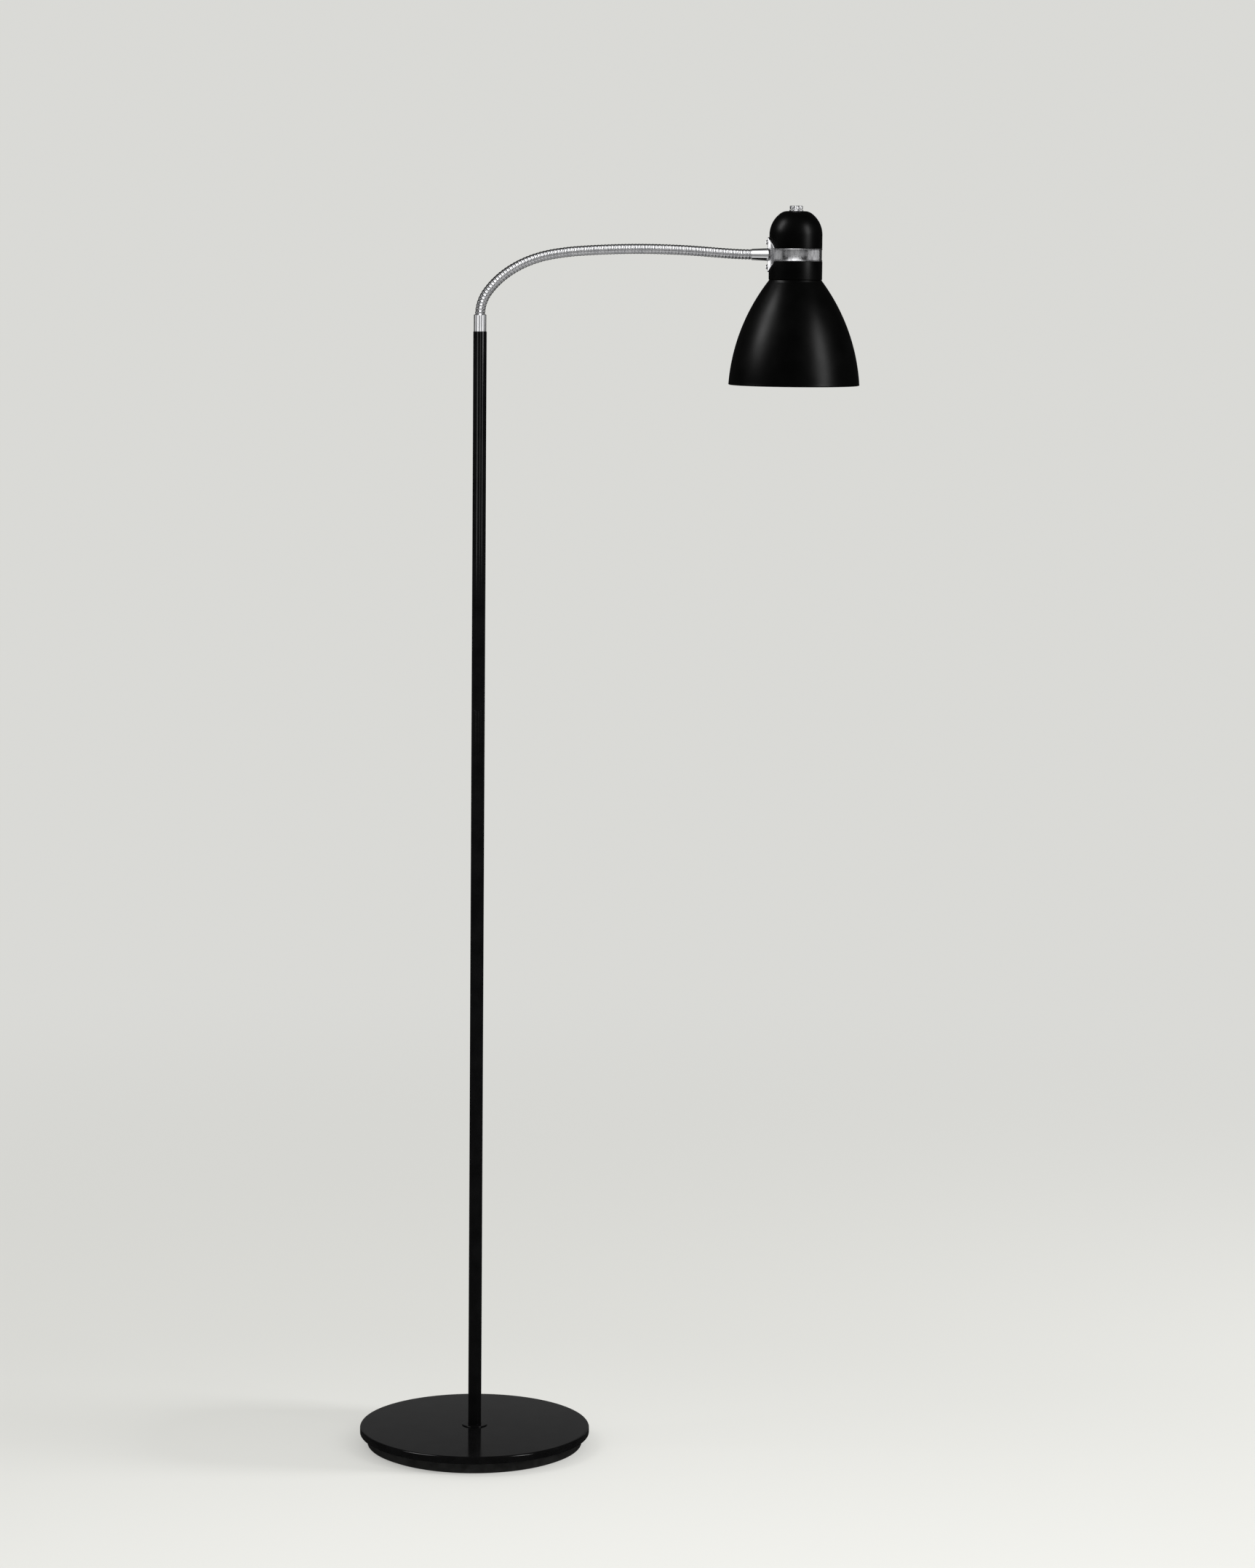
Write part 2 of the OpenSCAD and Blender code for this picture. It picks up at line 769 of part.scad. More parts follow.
module head_leads() {
    color("#e8e6e0") for (side = [-1, 1])
        wire([
            [head_x - neck_nut_x + neck_nut_t - 2, side * lead_y, arm_z],
            [lead_x, side * lead_y, arm_z],
            [lead_x, side * lead_y, lead_top_z - 4],
            [lead_end_x, side * lead_y, lead_top_z - 4],
            [lead_end_x, side * lead_y, lead_top_z]
        ], lead_r);
}

// Switch
module switch_body() {
    color("#1a1a1a") on_head_axis(lead_top_z) difference() {
        union() {
            cylinder(d = switch_d, h = switch_h);
            cylinder(d = bush_tube_d, h = switch_h + cap_wall + switch_ring_t);
        }
        translate([0, 0, switch_h - shaft_depth])
            cylinder(d = shaft_d + 2 * running_gap, h = shaft_depth + cap_wall + switch_ring_t + 1);
    }
}

module switch_ring() {
    color("#d2d4d6") on_head_axis(cap_top_z) difference() {
        rotate_extrude() rounded_section(switch_ring_d / 2, switch_ring_t, switch_ring_t / 2);
        translate([0, 0, -1]) cylinder(d = bush_tube_d, h = switch_ring_t + 2);
    }
}

module switch_shaft() {
    shaft_z = switch_top_z - shaft_depth + loose_gap;
    color("#b9bbbd") on_head_axis(shaft_z)
        cylinder(d = shaft_d, h = knob_z + knob_bore_depth - shaft_z);
}

module switch_knob() {
    color("#d2d4d6") on_head_axis(knob_z) difference() {
        cylinder(d = knob_d, h = knob_h);
        translate([0, 0, -1]) cylinder(d = shaft_d, h = knob_bore_depth + 1);
        for (i = [0 : knob_flutes - 1])
            rotate([0, 0, 360 / knob_flutes * i])
                translate([knob_d / 2 + flute_d / 4, 0, -1])
                    cylinder(d = flute_d, h = knob_h + 2);
    }
}

felt_pad();
bottom_plate();
bottom_plate_screws();
base_weight();
base_cover();
escutcheon();
cord_bush();
terminal_block();
foot_tube();
foot_washer();
foot_nut();
foot_plug();
lower_stem();
stem_joiner();
upper_stem();
top_plug();
stem_flex();
neck_tube();
ferrule();
for (k = [0 : pivots]) neck_link(k);
end_sleeve();
head_tube();
head_nut();
band();
saddle_screws();
inner_sleeve();
dome_cap();
collar();
shade();
shade_ring();
holder_skirt();
holder_cap();
holder_insert();
screw_shell();
centre_contact();
holder_tube();
holder_nut();
bridge();
bridge_screws();
bulb_glass();
bulb_cap();
head_leads();
switch_body();
switch_ring();
switch_shaft();
switch_knob();
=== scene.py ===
import json
from math import asin, atan2, ceil, cos, pi, radians, sin, sqrt, tan

import bmesh
import bpy
from mathutils import Matrix, Vector

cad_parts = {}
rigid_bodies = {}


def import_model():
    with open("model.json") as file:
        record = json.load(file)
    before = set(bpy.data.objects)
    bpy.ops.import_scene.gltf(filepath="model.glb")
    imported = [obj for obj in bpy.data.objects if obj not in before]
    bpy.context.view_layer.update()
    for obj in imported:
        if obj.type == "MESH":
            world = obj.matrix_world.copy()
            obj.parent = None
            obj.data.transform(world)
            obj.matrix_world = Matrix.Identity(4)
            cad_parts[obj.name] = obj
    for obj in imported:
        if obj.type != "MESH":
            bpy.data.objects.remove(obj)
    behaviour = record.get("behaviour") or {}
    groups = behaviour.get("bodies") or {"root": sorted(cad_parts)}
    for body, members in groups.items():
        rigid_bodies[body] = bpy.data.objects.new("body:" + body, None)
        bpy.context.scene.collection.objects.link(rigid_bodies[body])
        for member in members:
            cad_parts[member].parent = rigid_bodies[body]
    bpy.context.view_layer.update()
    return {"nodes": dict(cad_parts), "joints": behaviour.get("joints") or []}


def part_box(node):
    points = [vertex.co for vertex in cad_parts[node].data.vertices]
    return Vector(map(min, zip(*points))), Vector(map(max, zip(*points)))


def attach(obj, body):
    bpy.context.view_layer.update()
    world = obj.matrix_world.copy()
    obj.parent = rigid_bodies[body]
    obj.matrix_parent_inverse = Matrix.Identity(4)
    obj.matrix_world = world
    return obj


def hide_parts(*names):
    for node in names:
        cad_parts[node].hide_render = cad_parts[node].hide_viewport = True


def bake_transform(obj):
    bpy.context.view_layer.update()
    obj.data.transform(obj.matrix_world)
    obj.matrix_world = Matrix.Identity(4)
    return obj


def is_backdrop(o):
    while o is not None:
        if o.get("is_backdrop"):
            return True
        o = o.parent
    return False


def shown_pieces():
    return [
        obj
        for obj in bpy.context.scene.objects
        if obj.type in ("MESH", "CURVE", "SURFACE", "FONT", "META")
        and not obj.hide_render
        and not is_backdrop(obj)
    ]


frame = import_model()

scene = bpy.context.scene


# Camera. It stands almost five metres in front of the lamp at the height of its head, and looks
# down by a few degrees.
camera = bpy.data.objects.new("camera", bpy.data.cameras.new("camera"))
camera.data.lens = 95.6
camera.data.sensor_width = 36
camera.matrix_world = (
    Matrix.Translation((0.1796, -4.9564, 1.4537))
    @ Matrix.Rotation(radians(90 - 7.328), 4, "X")
    @ Matrix.Rotation(radians(0.549), 4, "Z")
)
scene.collection.objects.link(camera)
scene.camera = camera
scene.view_settings.view_transform = "Standard"


# Studio. A dim room with a pale floor that sweeps up into a wall all round, and a tall soft box on
# each side of the lamp for its black enamel. The bright work, the saddle, the knob, the base, the
# stem and the floor have lights of their own.
lit_centre = Vector((0.2, 0, 1.3))
light_sets = {name: bpy.data.collections.new(name + "_work")
              for name in ("dark", "bright", "saddle", "knob", "base", "stem", "floor")}


def soft_box(name, azimuth, elevation, distance, width, height, radiance, lights):
    """A soft box turned to the lamp's head, at angles from the front, that lights one set."""
    light = bpy.data.lights.new(name, "AREA")
    light.shape = "RECTANGLE"
    light.size = width
    light.size_y = height
    light.energy = radiance * pi * width * height
    box = bpy.data.objects.new(name, light)
    azimuth, elevation = radians(azimuth), radians(elevation)
    away = Vector((sin(azimuth) * cos(elevation), -cos(azimuth) * cos(elevation), sin(elevation)))
    turn = away.to_track_quat("Z", "Y").to_matrix().to_4x4()
    box.matrix_world = Matrix.Translation(lit_centre + away * distance) @ turn
    box.light_linking.receiver_collection = light_sets[lights]
    box.visible_camera = False
    scene.collection.objects.link(box)


soft_box("box_left", -80, 38, 3.0, 0.9, 1.7, 5.0, "dark")
soft_box("box_right", 54, 20, 3.0, 0.8, 1.9, 4.6, "dark")
soft_box("box_above", -5, 43, 2.8, 2.4, 2.8, 2.6, "bright")
soft_box("card_overhead", 0, 80, 2.2, 3.0, 1.4, 0.6, "bright")
soft_box("card_left", -85, 5, 2.6, 2.4, 1.8, 0.5, "bright")
soft_box("card_right", 88, 5, 2.6, 3.2, 1.8, 0.8, "bright")
soft_box("card_front", 0, -3, 2.6, 6.0, 1.2, 0.45, "bright")
soft_box("card_low", 0, -42, 1.7, 3.0, 1.2, 0.45, "bright")
soft_box("card_under", 0, -90, 1.22, 3.0, 2.4, 0.35, "bright")
soft_box("card_behind_left", -138, 5, 2.6, 2.2, 1.8, 2.2, "saddle")
soft_box("card_knob", 8, 4, 2.6, 2.6, 0.8, 1.0, "knob")
soft_box("wall_behind", 180, 0, 3.4, 5.0, 2.4, 0.10, "base")
soft_box("low_right", 85, -15.5, 4.0, 1.0, 0.4, 700, "floor")
soft_box("strip_left", -42, -1, 2.6, 0.75, 0.8, 1.4, "stem")
soft_box("strip_middle", 6, -1, 2.6, 0.5, 0.8, 1.0, "stem")
soft_box("strip_right", 49, -1, 2.6, 0.6, 0.8, 1.3, "stem")

world = bpy.data.worlds.new("dim_room")
world.use_nodes = True
world.node_tree.nodes["Background"].inputs["Color"].default_value = (0.02, 0.02, 0.0197, 1)
scene.world = world


def corner_points(corners):
    """Points of an outline, with an arc at each corner given as (radius, height, rounding)."""
    points = []
    for i, corner in enumerate(corners):
        here = Vector(corner[:2])
        rounding = corner[2] if len(corner) > 2 else 0
        if not rounding:
            points.append(here)
            continue
        back = (Vector(corners[i - 1][:2]) - here).normalized()
        ahead = (Vector(corners[(i + 1) % len(corners)][:2]) - here).normalized()
        half = back.angle(ahead) / 2
        centre = here + (back + ahead).normalized() * rounding / sin(half)
        first = here + back * rounding / tan(half) - centre
        last = here + ahead * rounding / tan(half) - centre
        start = atan2(first.y, first.x)
        sweep = (atan2(last.y, last.x) - start + pi) % (2 * pi) - pi
        steps = max(2, ceil(abs(sweep) / radians(9)))
        for k in range(steps + 1):
            angle = start + sweep * k / steps
            points.append(centre + Vector((cos(angle), sin(angle))) * rounding)
    return points


def turned(name, corners, place=Matrix.Identity(4), sides=160, closed=True):
    """A mesh turned about Z from an outline of (radius, height), then put in its place."""
    points = corner_points(corners)
    shape = bmesh.new()
    rings = []
    for point in points:
        if point.x < 1e-7:
            rings.append([shape.verts.new((0, 0, point.y))] * sides)
        else:
            turn = [2 * pi * k / sides for k in range(sides)]
            rings.append([shape.verts.new((point.x * cos(a), point.x * sin(a), point.y)) for a in turn])
    for i in range(len(rings) if closed else len(rings) - 1):
        low, high = rings[i], rings[(i + 1) % len(rings)]
        if low[0] is low[1] and high[0] is high[1]:
            continue
        for k in range(sides):
            n = (k + 1) % sides
            corner = [low[k], low[n], high[n], high[k]]
            shape.faces.new(sorted(set(corner), key=corner.index))
    bmesh.ops.recalc_face_normals(shape, faces=shape.faces)
    mesh = bpy.data.meshes.new(name)
    shape.to_mesh(mesh)
    shape.free()
    mesh.transform(place)
    smooth(mesh)
    return mesh


def smooth(mesh, angle=32):
    mesh.shade_smooth()
    mesh.set_sharp_from_angle(angle=radians(angle))


# The floor takes the lamp's shadow near the base. Further out the paper glows by itself, and a
# painted pool of light lies on the floor just in front of the base, where the glow is stronger.
sweep_r = 7.5
sweep_rise = 2.5
wall_h = 9
shadow_r, glow_r = 0.6, 3.2
painted_light_spot = (0, -1.1, 0)
painted_light_spot_r, painted_light_fade_r = 0.4, 1.7
backdrop = bpy.data.materials.new("pale_paper")
backdrop.use_nodes = True
paper = backdrop.node_tree
shader = paper.nodes["Principled BSDF"]
shader.inputs["Roughness"].default_value = 0.9
shader.inputs["Specular IOR Level"].default_value = 0.1
shader.inputs["Base Color"].default_value = (0.64, 0.64, 0.62, 1)
glow = paper.nodes.new("ShaderNodeEmission")
glow.inputs["Color"].default_value = (0.70, 0.70, 0.675, 1)
where = paper.nodes.new("ShaderNodeTexCoord")
reach = paper.nodes.new("ShaderNodeVectorMath")
reach.operation = "LENGTH"
fade = paper.nodes.new("ShaderNodeMapRange")
fade.inputs["From Min"].default_value = shadow_r
fade.inputs["From Max"].default_value = glow_r
fade.inputs["To Min"].default_value = 0.45
fade.interpolation_type = "SMOOTHSTEP"
blend = paper.nodes.new("ShaderNodeMixShader")
paper.links.new(where.outputs["Object"], reach.inputs[0])
paper.links.new(reach.outputs["Value"], fade.inputs["Value"])
paper.links.new(fade.outputs["Result"], blend.inputs[0])
paper.links.new(shader.outputs[0], blend.inputs[1])
paper.links.new(glow.outputs[0], blend.inputs[2])
# Painted pool of light: the paper's glow is made stronger round a spot on the floor in front of the
# base.
distance_to_painted_light = paper.nodes.new("ShaderNodeVectorMath")
distance_to_painted_light.operation = "DISTANCE"
distance_to_painted_light.inputs[1].default_value = painted_light_spot
ahead = paper.nodes.new("ShaderNodeMapRange")
ahead.inputs["From Min"].default_value = painted_light_spot_r
ahead.inputs["From Max"].default_value = painted_light_fade_r
ahead.inputs["To Min"].default_value = 1.45
ahead.inputs["To Max"].default_value = 1.0
ahead.interpolation_type = "SMOOTHSTEP"
paper.links.new(where.outputs["Object"], distance_to_painted_light.inputs[0])
paper.links.new(distance_to_painted_light.outputs["Value"], ahead.inputs["Value"])
paper.links.new(ahead.outputs["Result"], glow.inputs["Strength"])
paper.links.new(blend.outputs[0], paper.nodes["Material Output"].inputs["Surface"])

sweep_outline = [(0, 0), (sweep_r + sweep_rise, 0, sweep_rise), (sweep_r + sweep_rise, wall_h),
                 (0, wall_h)]
floor_piece = bpy.data.objects.new("pale_floor", turned("pale_floor", sweep_outline, sides=96))
floor_piece.data.flip_normals()
floor_piece.data.materials.append(backdrop)
floor_piece.visible_glossy = False
scene.collection.objects.link(floor_piece)
light_sets["floor"].objects.link(floor_piece)
floor_piece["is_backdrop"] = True


# Base, from the floor up. A felt pad is glued under a cast iron weight painted black, and a pressed
# steel cover in gloss black enamel sits over the weight, clamped by the stem's nut. A rubber bush
# lines the cord's hole at the back.
mm = 0.001


def span(node):
    """Of a round upright CAD node: its radius, its lowest z, its highest z and its axis' x."""
    low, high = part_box(node)
    return (high.y - low.y) / 2, low.z, high.z, (low.x + high.x) / 2


def start_finish(name, colour, metal=0.0, **sockets):
    """A new material, its shader with even values set on the sockets, and its object position."""
    finish = bpy.data.materials.new(name)
    finish.use_nodes = True
    shader = finish.node_tree.nodes["Principled BSDF"]
    shader.inputs["Base Color"].default_value = (*colour, 1)
    shader.inputs["Metallic"].default_value = metal
    for socket, value in sockets.items():
        shader.inputs[socket.replace("_", " ")].default_value = value
    place = finish.node_tree.nodes.new("ShaderNodeTexCoord")
    return finish, shader, place.outputs["Object"]


def grain(finish, place, size, detail=4, stretch=(1, 1, 1)):
    """A noise whose spots are about this size in metres, longer where stretch is above 1."""
    tree = finish.node_tree
    mapping = tree.nodes.new("ShaderNodeMapping")
    mapping.inputs["Scale"].default_value = [1 / s for s in stretch]
    noise = tree.nodes.new("ShaderNodeTexNoise")
    noise.inputs["Scale"].default_value = 1 / size
    noise.inputs["Detail"].default_value = detail
    tree.links.new(place, mapping.inputs["Vector"])
    tree.links.new(mapping.outputs[0], noise.inputs["Vector"])
    return noise.outputs["Fac"]


def ranged(finish, value, socket, low, high, start=0.3, end=0.7):
    """Feeds a grain to a shader's socket, spread between two values."""
    spread = finish.node_tree.nodes.new("ShaderNodeMapRange")
    for name, number in (("From Min", start), ("From Max", end), ("To Min", low), ("To Max", high)):
        spread.inputs[name].default_value = number
    finish.node_tree.links.new(value, spread.inputs["Value"])
    finish.node_tree.links.new(spread.outputs["Result"], socket)


def tinted(finish, value, socket, dark, light, start=0.35, end=0.65):
    """Feeds a grain to a colour socket, from the dark colour to the light one."""
    ramp = finish.node_tree.nodes.new("ShaderNodeValToRGB")
    for element, at, colour in zip(ramp.color_ramp.elements, (start, end), (dark, light)):
        element.position = at
        element.color = (*colour, 1)
    finish.node_tree.links.new(value, ramp.inputs["Fac"])
    finish.node_tree.links.new(ramp.outputs["Color"], socket)


def raised(finish, shader, value, height, strength=1.0):
    """Uses a grain as a height, in metres, on the shader's normal."""
    bump = finish.node_tree.nodes.new("ShaderNodeBump")
    bump.inputs["Distance"].default_value = height
    bump.inputs["Strength"].default_value = strength
    finish.node_tree.links.new(value, bump.inputs["Height"])
    finish.node_tree.links.new(bump.outputs["Normal"], shader.inputs["Normal"])


def gloss_enamel():
    finish, shader, place = start_finish("gloss_black_enamel", (0.004, 0.004, 0.0042),
                                         Specular_IOR_Level=0.4)
    ranged(finish, grain(finish, place, 45 * mm), shader.inputs["Roughness"], 0.07, 0.13)
    tinted(finish, grain(finish, place, 20 * mm), shader.inputs["Base Color"],
           (0.003, 0.003, 0.0032), (0.005, 0.005, 0.0053))
    raised(finish, shader, grain(finish, place, 2.2 * mm, 1), 0.012 * mm, 0.5)
    return finish


def cast_paint():
    finish, shader, place = start_finish("painted_cast_iron", (0.012, 0.012, 0.012))
    ranged(finish, grain(finish, place, 6 * mm), shader.inputs["Roughness"], 0.42, 0.6)
    tinted(finish, grain(finish, place, 12 * mm), shader.inputs["Base Color"],
           (0.009, 0.009, 0.009), (0.018, 0.018, 0.018))
    raised(finish, shader, grain(finish, place, 1.6 * mm, 6), 0.25 * mm, 0.6)
    return finish


def felt_cloth():
    finish, shader, place = start_finish("pressed_felt", (0.02, 0.02, 0.02), Sheen_Weight=0.4,
                                         Specular_IOR_Level=0.1)
    ranged(finish, grain(finish, place, 5 * mm), shader.inputs["Roughness"], 0.9, 1.0)
    tinted(finish, grain(finish, place, 0.8 * mm, 8), shader.inputs["Base Color"],
           (0.010, 0.010, 0.011), (0.045, 0.045, 0.046))
    raised(finish, shader, grain(finish, place, 0.5 * mm, 8), 0.3 * mm, 0.9)
    return finish


def black_rubber():
    finish, shader, place = start_finish("black_rubber", (0.014, 0.014, 0.014))
    ranged(finish, grain(finish, place, 3 * mm), shader.inputs["Roughness"], 0.55, 0.75)
    tinted(finish, grain(finish, place, 4 * mm), shader.inputs["Base Color"],
           (0.011, 0.011, 0.011), (0.02, 0.02, 0.02))
    raised(finish, shader, grain(finish, place, 0.4 * mm), 0.05 * mm, 0.5)
    return finish


def fit(mesh, finishes, body, nodes):
    """Makes a mesh a piece on a body, in place of CAD nodes, with its finishes."""
    piece = bpy.data.objects.new(mesh.name, mesh)
    for finish in finishes:
        mesh.materials.append(finish)
    scene.collection.objects.link(piece)
    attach(piece, body)
    if nodes:
        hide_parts(*nodes)
    return piece


pad_r, pad_low, pad_high, _ = span("felt_pad")
fit(turned("felt_disc", [(0, pad_low), (pad_r, pad_low, 0.4 * mm), (pad_r, pad_high, 0.6 * mm),
                         (0, pad_high)]),
    [felt_cloth()], "stand", ["felt_pad"])

weight_setback = 9 * mm
weight_ring_w = 31 * mm
plate_step_w, plate_step_h = 7 * mm, 1.5 * mm
foot_hole_r = 5.2 * mm
enamel = gloss_enamel()
cover_r, cover_low, cover_high, _ = span("base_cover")
weight_top_r, weight_low, weight_high, _ = span("base_weight")
weight_ring_r = cover_r - weight_setback
cavity_r = weight_ring_r - weight_ring_w
fit(turned("iron_weight", [
        (cavity_r + plate_step_w, weight_low), (weight_ring_r, weight_low, 1.0 * mm),
        (weight_ring_r, cover_low),
        (weight_top_r, cover_low), (weight_top_r, weight_high, 1.2 * mm), (foot_hole_r, weight_high),
        (foot_hole_r, cover_low), (cavity_r, cover_low), (cavity_r, weight_low + plate_step_h),
        (cavity_r + plate_step_w, weight_low + plate_step_h)]),
    [cast_paint()], "stand", ["base_weight"])

cover_wall = 1.5 * mm
cover_edge = 2.6 * mm
fit(turned("pressed_cover", [
        (foot_hole_r, cover_high - cover_wall), (foot_hole_r, cover_high),
        (cover_r, cover_high, cover_edge), (cover_r, cover_low, 0.7 * mm),
        (cover_r - cover_wall, cover_low, 0.7 * mm),
        (cover_r - cover_wall, cover_high - cover_wall, cover_edge - cover_wall)], sides=256),
    [enamel], "stand", ["base_cover"])

disc_r, disc_low, disc_high, _ = span("escutcheon")
stem_r, stem_low, seam_z, _ = span("lower_stem")
fit(turned("stem_disc", [
        (stem_r + 0.1 * mm, disc_low), (disc_r, disc_low, 0.15 * mm), (disc_r, disc_high, 0.8 * mm),
        (stem_r + 0.1 * mm, disc_high, 0.3 * mm)]),
    [enamel], "stand", ["escutcheon"])

bush_low, bush_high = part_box("cord_bush")
bush_mid = (bush_low + bush_high) / 2
bush_flange_r = (bush_high.x - bush_low.x) / 2
bush_body_r, bush_bore_r, bush_flange_t = 4.5 * mm, 3.2 * mm, 2.5 * mm
bush_len = bush_high.y - bush_low.y
to_the_back = Matrix.Translation((0, bush_low.y, bush_mid.z)) @ Matrix.Rotation(-pi / 2, 4, "X")
rubber = black_rubber()
fit(turned("cord_grommet", [
        (bush_bore_r, 0, 0.3 * mm), (bush_body_r, 0, 0.3 * mm), (bush_body_r, bush_len - bush_flange_t),
        (bush_flange_r, bush_len - bush_flange_t, 0.4 * mm), (bush_flange_r, bush_len, 1.1 * mm),
        (bush_bore_r, bush_len, 0.6 * mm)], to_the_back, sides=64),
    [rubber], "stand", ["cord_bush"])


# Fittings inside the base, the stem and the head. Zinc plated plates, nuts and plugs, threaded
# brass tubes, a plastic terminal block and the flex keep the shapes of the frame.
def zinc_plate():
    finish, shader, place = start_finish("zinc_plate", (0.6, 0.61, 0.62), 1.0)
    tinted(finish, grain(finish, place, 9 * mm), shader.inputs["Base Color"],
           (0.50, 0.51, 0.54), (0.68, 0.68, 0.66))
    ranged(finish, grain(finish, place, 2 * mm), shader.inputs["Roughness"], 0.28, 0.42)
    raised(finish, shader, grain(finish, place, 0.4 * mm, 3, (1, 1, 6)), 0.02 * mm, 0.5)
    return finish


def plain_brass():
    finish, shader, place = start_finish("plain_brass", (0.72, 0.52, 0.22), 1.0)
    tinted(finish, grain(finish, place, 7 * mm), shader.inputs["Base Color"],
           (0.58, 0.40, 0.15), (0.78, 0.58, 0.26))
    ranged(finish, grain(finish, place, 3 * mm), shader.inputs["Roughness"], 0.2, 0.36)
    return finish


def moulded(name, dark, light, low, high):
    """A moulded plastic or glazed piece, with a faint flow in its colour and gloss."""
    finish, shader, place = start_finish(name, light)
    tinted(finish, grain(finish, place, 14 * mm), shader.inputs["Base Color"], dark, light)
    ranged(finish, grain(finish, place, 6 * mm), shader.inputs["Roughness"], low, high)
    raised(finish, shader, grain(finish, place, 1.2 * mm, 2), 0.02 * mm, 0.4)
    return finish


zinc = zinc_plate()
brass = plain_brass()
bakelite = moulded("black_bakelite", (0.012, 0.011, 0.010), (0.022, 0.020, 0.018), 0.16, 0.26)
ivory = moulded("ivory_plastic", (0.70, 0.67, 0.58), (0.80, 0.77, 0.69), 0.4, 0.52)
sheath = moulded("flex_sheath", (0.72, 0.71, 0.66), (0.84, 0.83, 0.79), 0.42, 0.55)
glazed = moulded("glazed_insert", (0.78, 0.76, 0.70), (0.88, 0.86, 0.81), 0.12, 0.22)
fittings = {
    zinc: ["bottom_plate", "bottom_plate_screws", "foot_washer", "foot_nut", "foot_plug",
           "stem_joiner", "top_plug", "head_nut", "inner_sleeve", "holder_nut", "bridge",
           "bridge_screws", "switch_shaft"],
    brass: ["foot_tube", "neck_tube", "head_tube", "screw_shell", "centre_contact", "holder_tube"],
    bakelite: ["holder_cap", "switch_body"],
    ivory: ["terminal_block"],
    sheath: ["stem_flex", "head_leads"],
    glazed: ["holder_insert"],
}
for finish, nodes in fittings.items():
    for node in nodes:
        for slot in frame["nodes"][node].material_slots:
            slot.material = finish


# Stem. Two steel tubes in the same gloss enamel, pushed over a joining plug so that only a hair
# line shows between them.
tube_wall = 1.2 * mm
_, _, stem_top, _ = span("upper_stem")
for name, node, low, high in (("stem_tube_low", "lower_stem", stem_low, seam_z),
                              ("stem_tube_high", "upper_stem", seam_z, stem_top)):
    fit(turned(name, [(stem_r - tube_wall, low), (stem_r, low, 0.25 * mm), (stem_r, high, 0.25 * mm),
                      (stem_r - tube_wall, high)], sides=96),
        [enamel], "stand", [node])


# Sleeves of the gooseneck. A turned and polished chrome sleeve screws down on the stem, and a
# tapered one holds the other end of the gooseneck to the saddle on the head.
def polished_chrome():
    finish, shader, place = start_finish("polished_chrome", (0.78, 0.785, 0.80), 1.0)
    tinted(finish, grain(finish, place, 16 * mm), shader.inputs["Base Color"],
           (0.70, 0.705, 0.72), (0.82, 0.82, 0.83))
    ranged(finish, grain(finish, place, 5 * mm), shader.inputs["Roughness"], 0.05, 0.12)
    raised(finish, shader, grain(finish, place, 3 * mm, 2), 0.01 * mm, 0.4)
    return finish


chrome = polished_chrome()
ferrule_r, ferrule_low, ferrule_high, _ = span("ferrule")
neck_r = 6 * mm
tube_seat_r = 4 * mm
neck_insert = 12 * mm
fit(turned("stem_sleeve", [
        (tube_seat_r, ferrule_low), (ferrule_r, ferrule_low, 0.3 * mm),
        (ferrule_r, ferrule_high, 0.7 * mm), (neck_r, ferrule_high, 0.3 * mm),
        (neck_r, ferrule_high - neck_insert), (tube_seat_r, ferrule_high - neck_insert)], sides=96),
    [chrome], "stand", ["ferrule"])

sleeve_low, sleeve_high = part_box("end_sleeve")
sleeve_start = Vector((sleeve_low.x, 0, (sleeve_low.z + sleeve_high.z) / 2))
sleeve_len = 18.8 * mm
sleeve_small_r = 6.5 * mm
sleeve_big_r = 7.3 * mm
flare = 0.5 * mm
axis_x = span("shade")[3]
saddle_out_r = axis_x - sleeve_low.x - sleeve_len
to_the_head = Matrix.Translation(sleeve_start) @ Matrix.Rotation(pi / 2, 4, "Y")
arm_sleeve = turned("arm_sleeve", [
    (tube_seat_r, neck_insert), (neck_r, neck_insert), (neck_r, 0, 0.2 * mm),
    (sleeve_small_r, 0, 0.4 * mm), (sleeve_big_r, sleeve_len - 2 * flare, 2 * mm),
    (sleeve_big_r + flare, sleeve_len + 0.3 * mm), (tube_seat_r, sleeve_len + 0.3 * mm)],
    to_the_head, sides=96)
for point in arm_sleeve.vertices:
    if point.co.x > sleeve_start.x + sleeve_len:
        point.co.x = axis_x - sqrt((saddle_out_r - 0.2 * mm) ** 2 - point.co.y ** 2)
fit(arm_sleeve, [chrome], "head", ["end_sleeve"])


# Gooseneck. A round steel wire wound in an open coil, with a thinner wire wound into the gap
# between its turns, both chromed. The real one bends anywhere along its length and stays where it
# is put; each length here is built along the frame's neck as it stands.
def wire_chrome():
    finish, shader, place = start_finish("wire_chrome", (0.70, 0.705, 0.72), 1.0)
    tinted(finish, grain(finish, place, 7 * mm), shader.inputs["Base Color"],
           (0.60, 0.605, 0.62), (0.76, 0.76, 0.77))
    ranged(finish, grain(finish, place, 2.5 * mm), shader.inputs["Roughness"], 0.16, 0.26)
    return finish


def take_sockets(tree, sockets):
    """Gives a node tree its named inputs and a geometry output; returns name to identifier."""
    tree.interface.new_socket("Geometry", in_out="OUTPUT", socket_type="NodeSocketGeometry")
    for name, kind in sockets:
        tree.interface.new_socket(name, in_out="INPUT", socket_type="NodeSocket" + kind)
    return {item.name: item.identifier for item in tree.interface.items_tree
            if item.in_out == "INPUT"}


def maths(tree, operation, *values):
    """A math node fed by sockets or numbers; returns its result."""
    node = tree.nodes.new("ShaderNodeMath")
    node.operation = operation
    for socket, value in zip(node.inputs, values):
        if isinstance(value, (int, float)):
            socket.default_value = value
        else:
            tree.links.new(value, socket)
    return node.outputs[0]


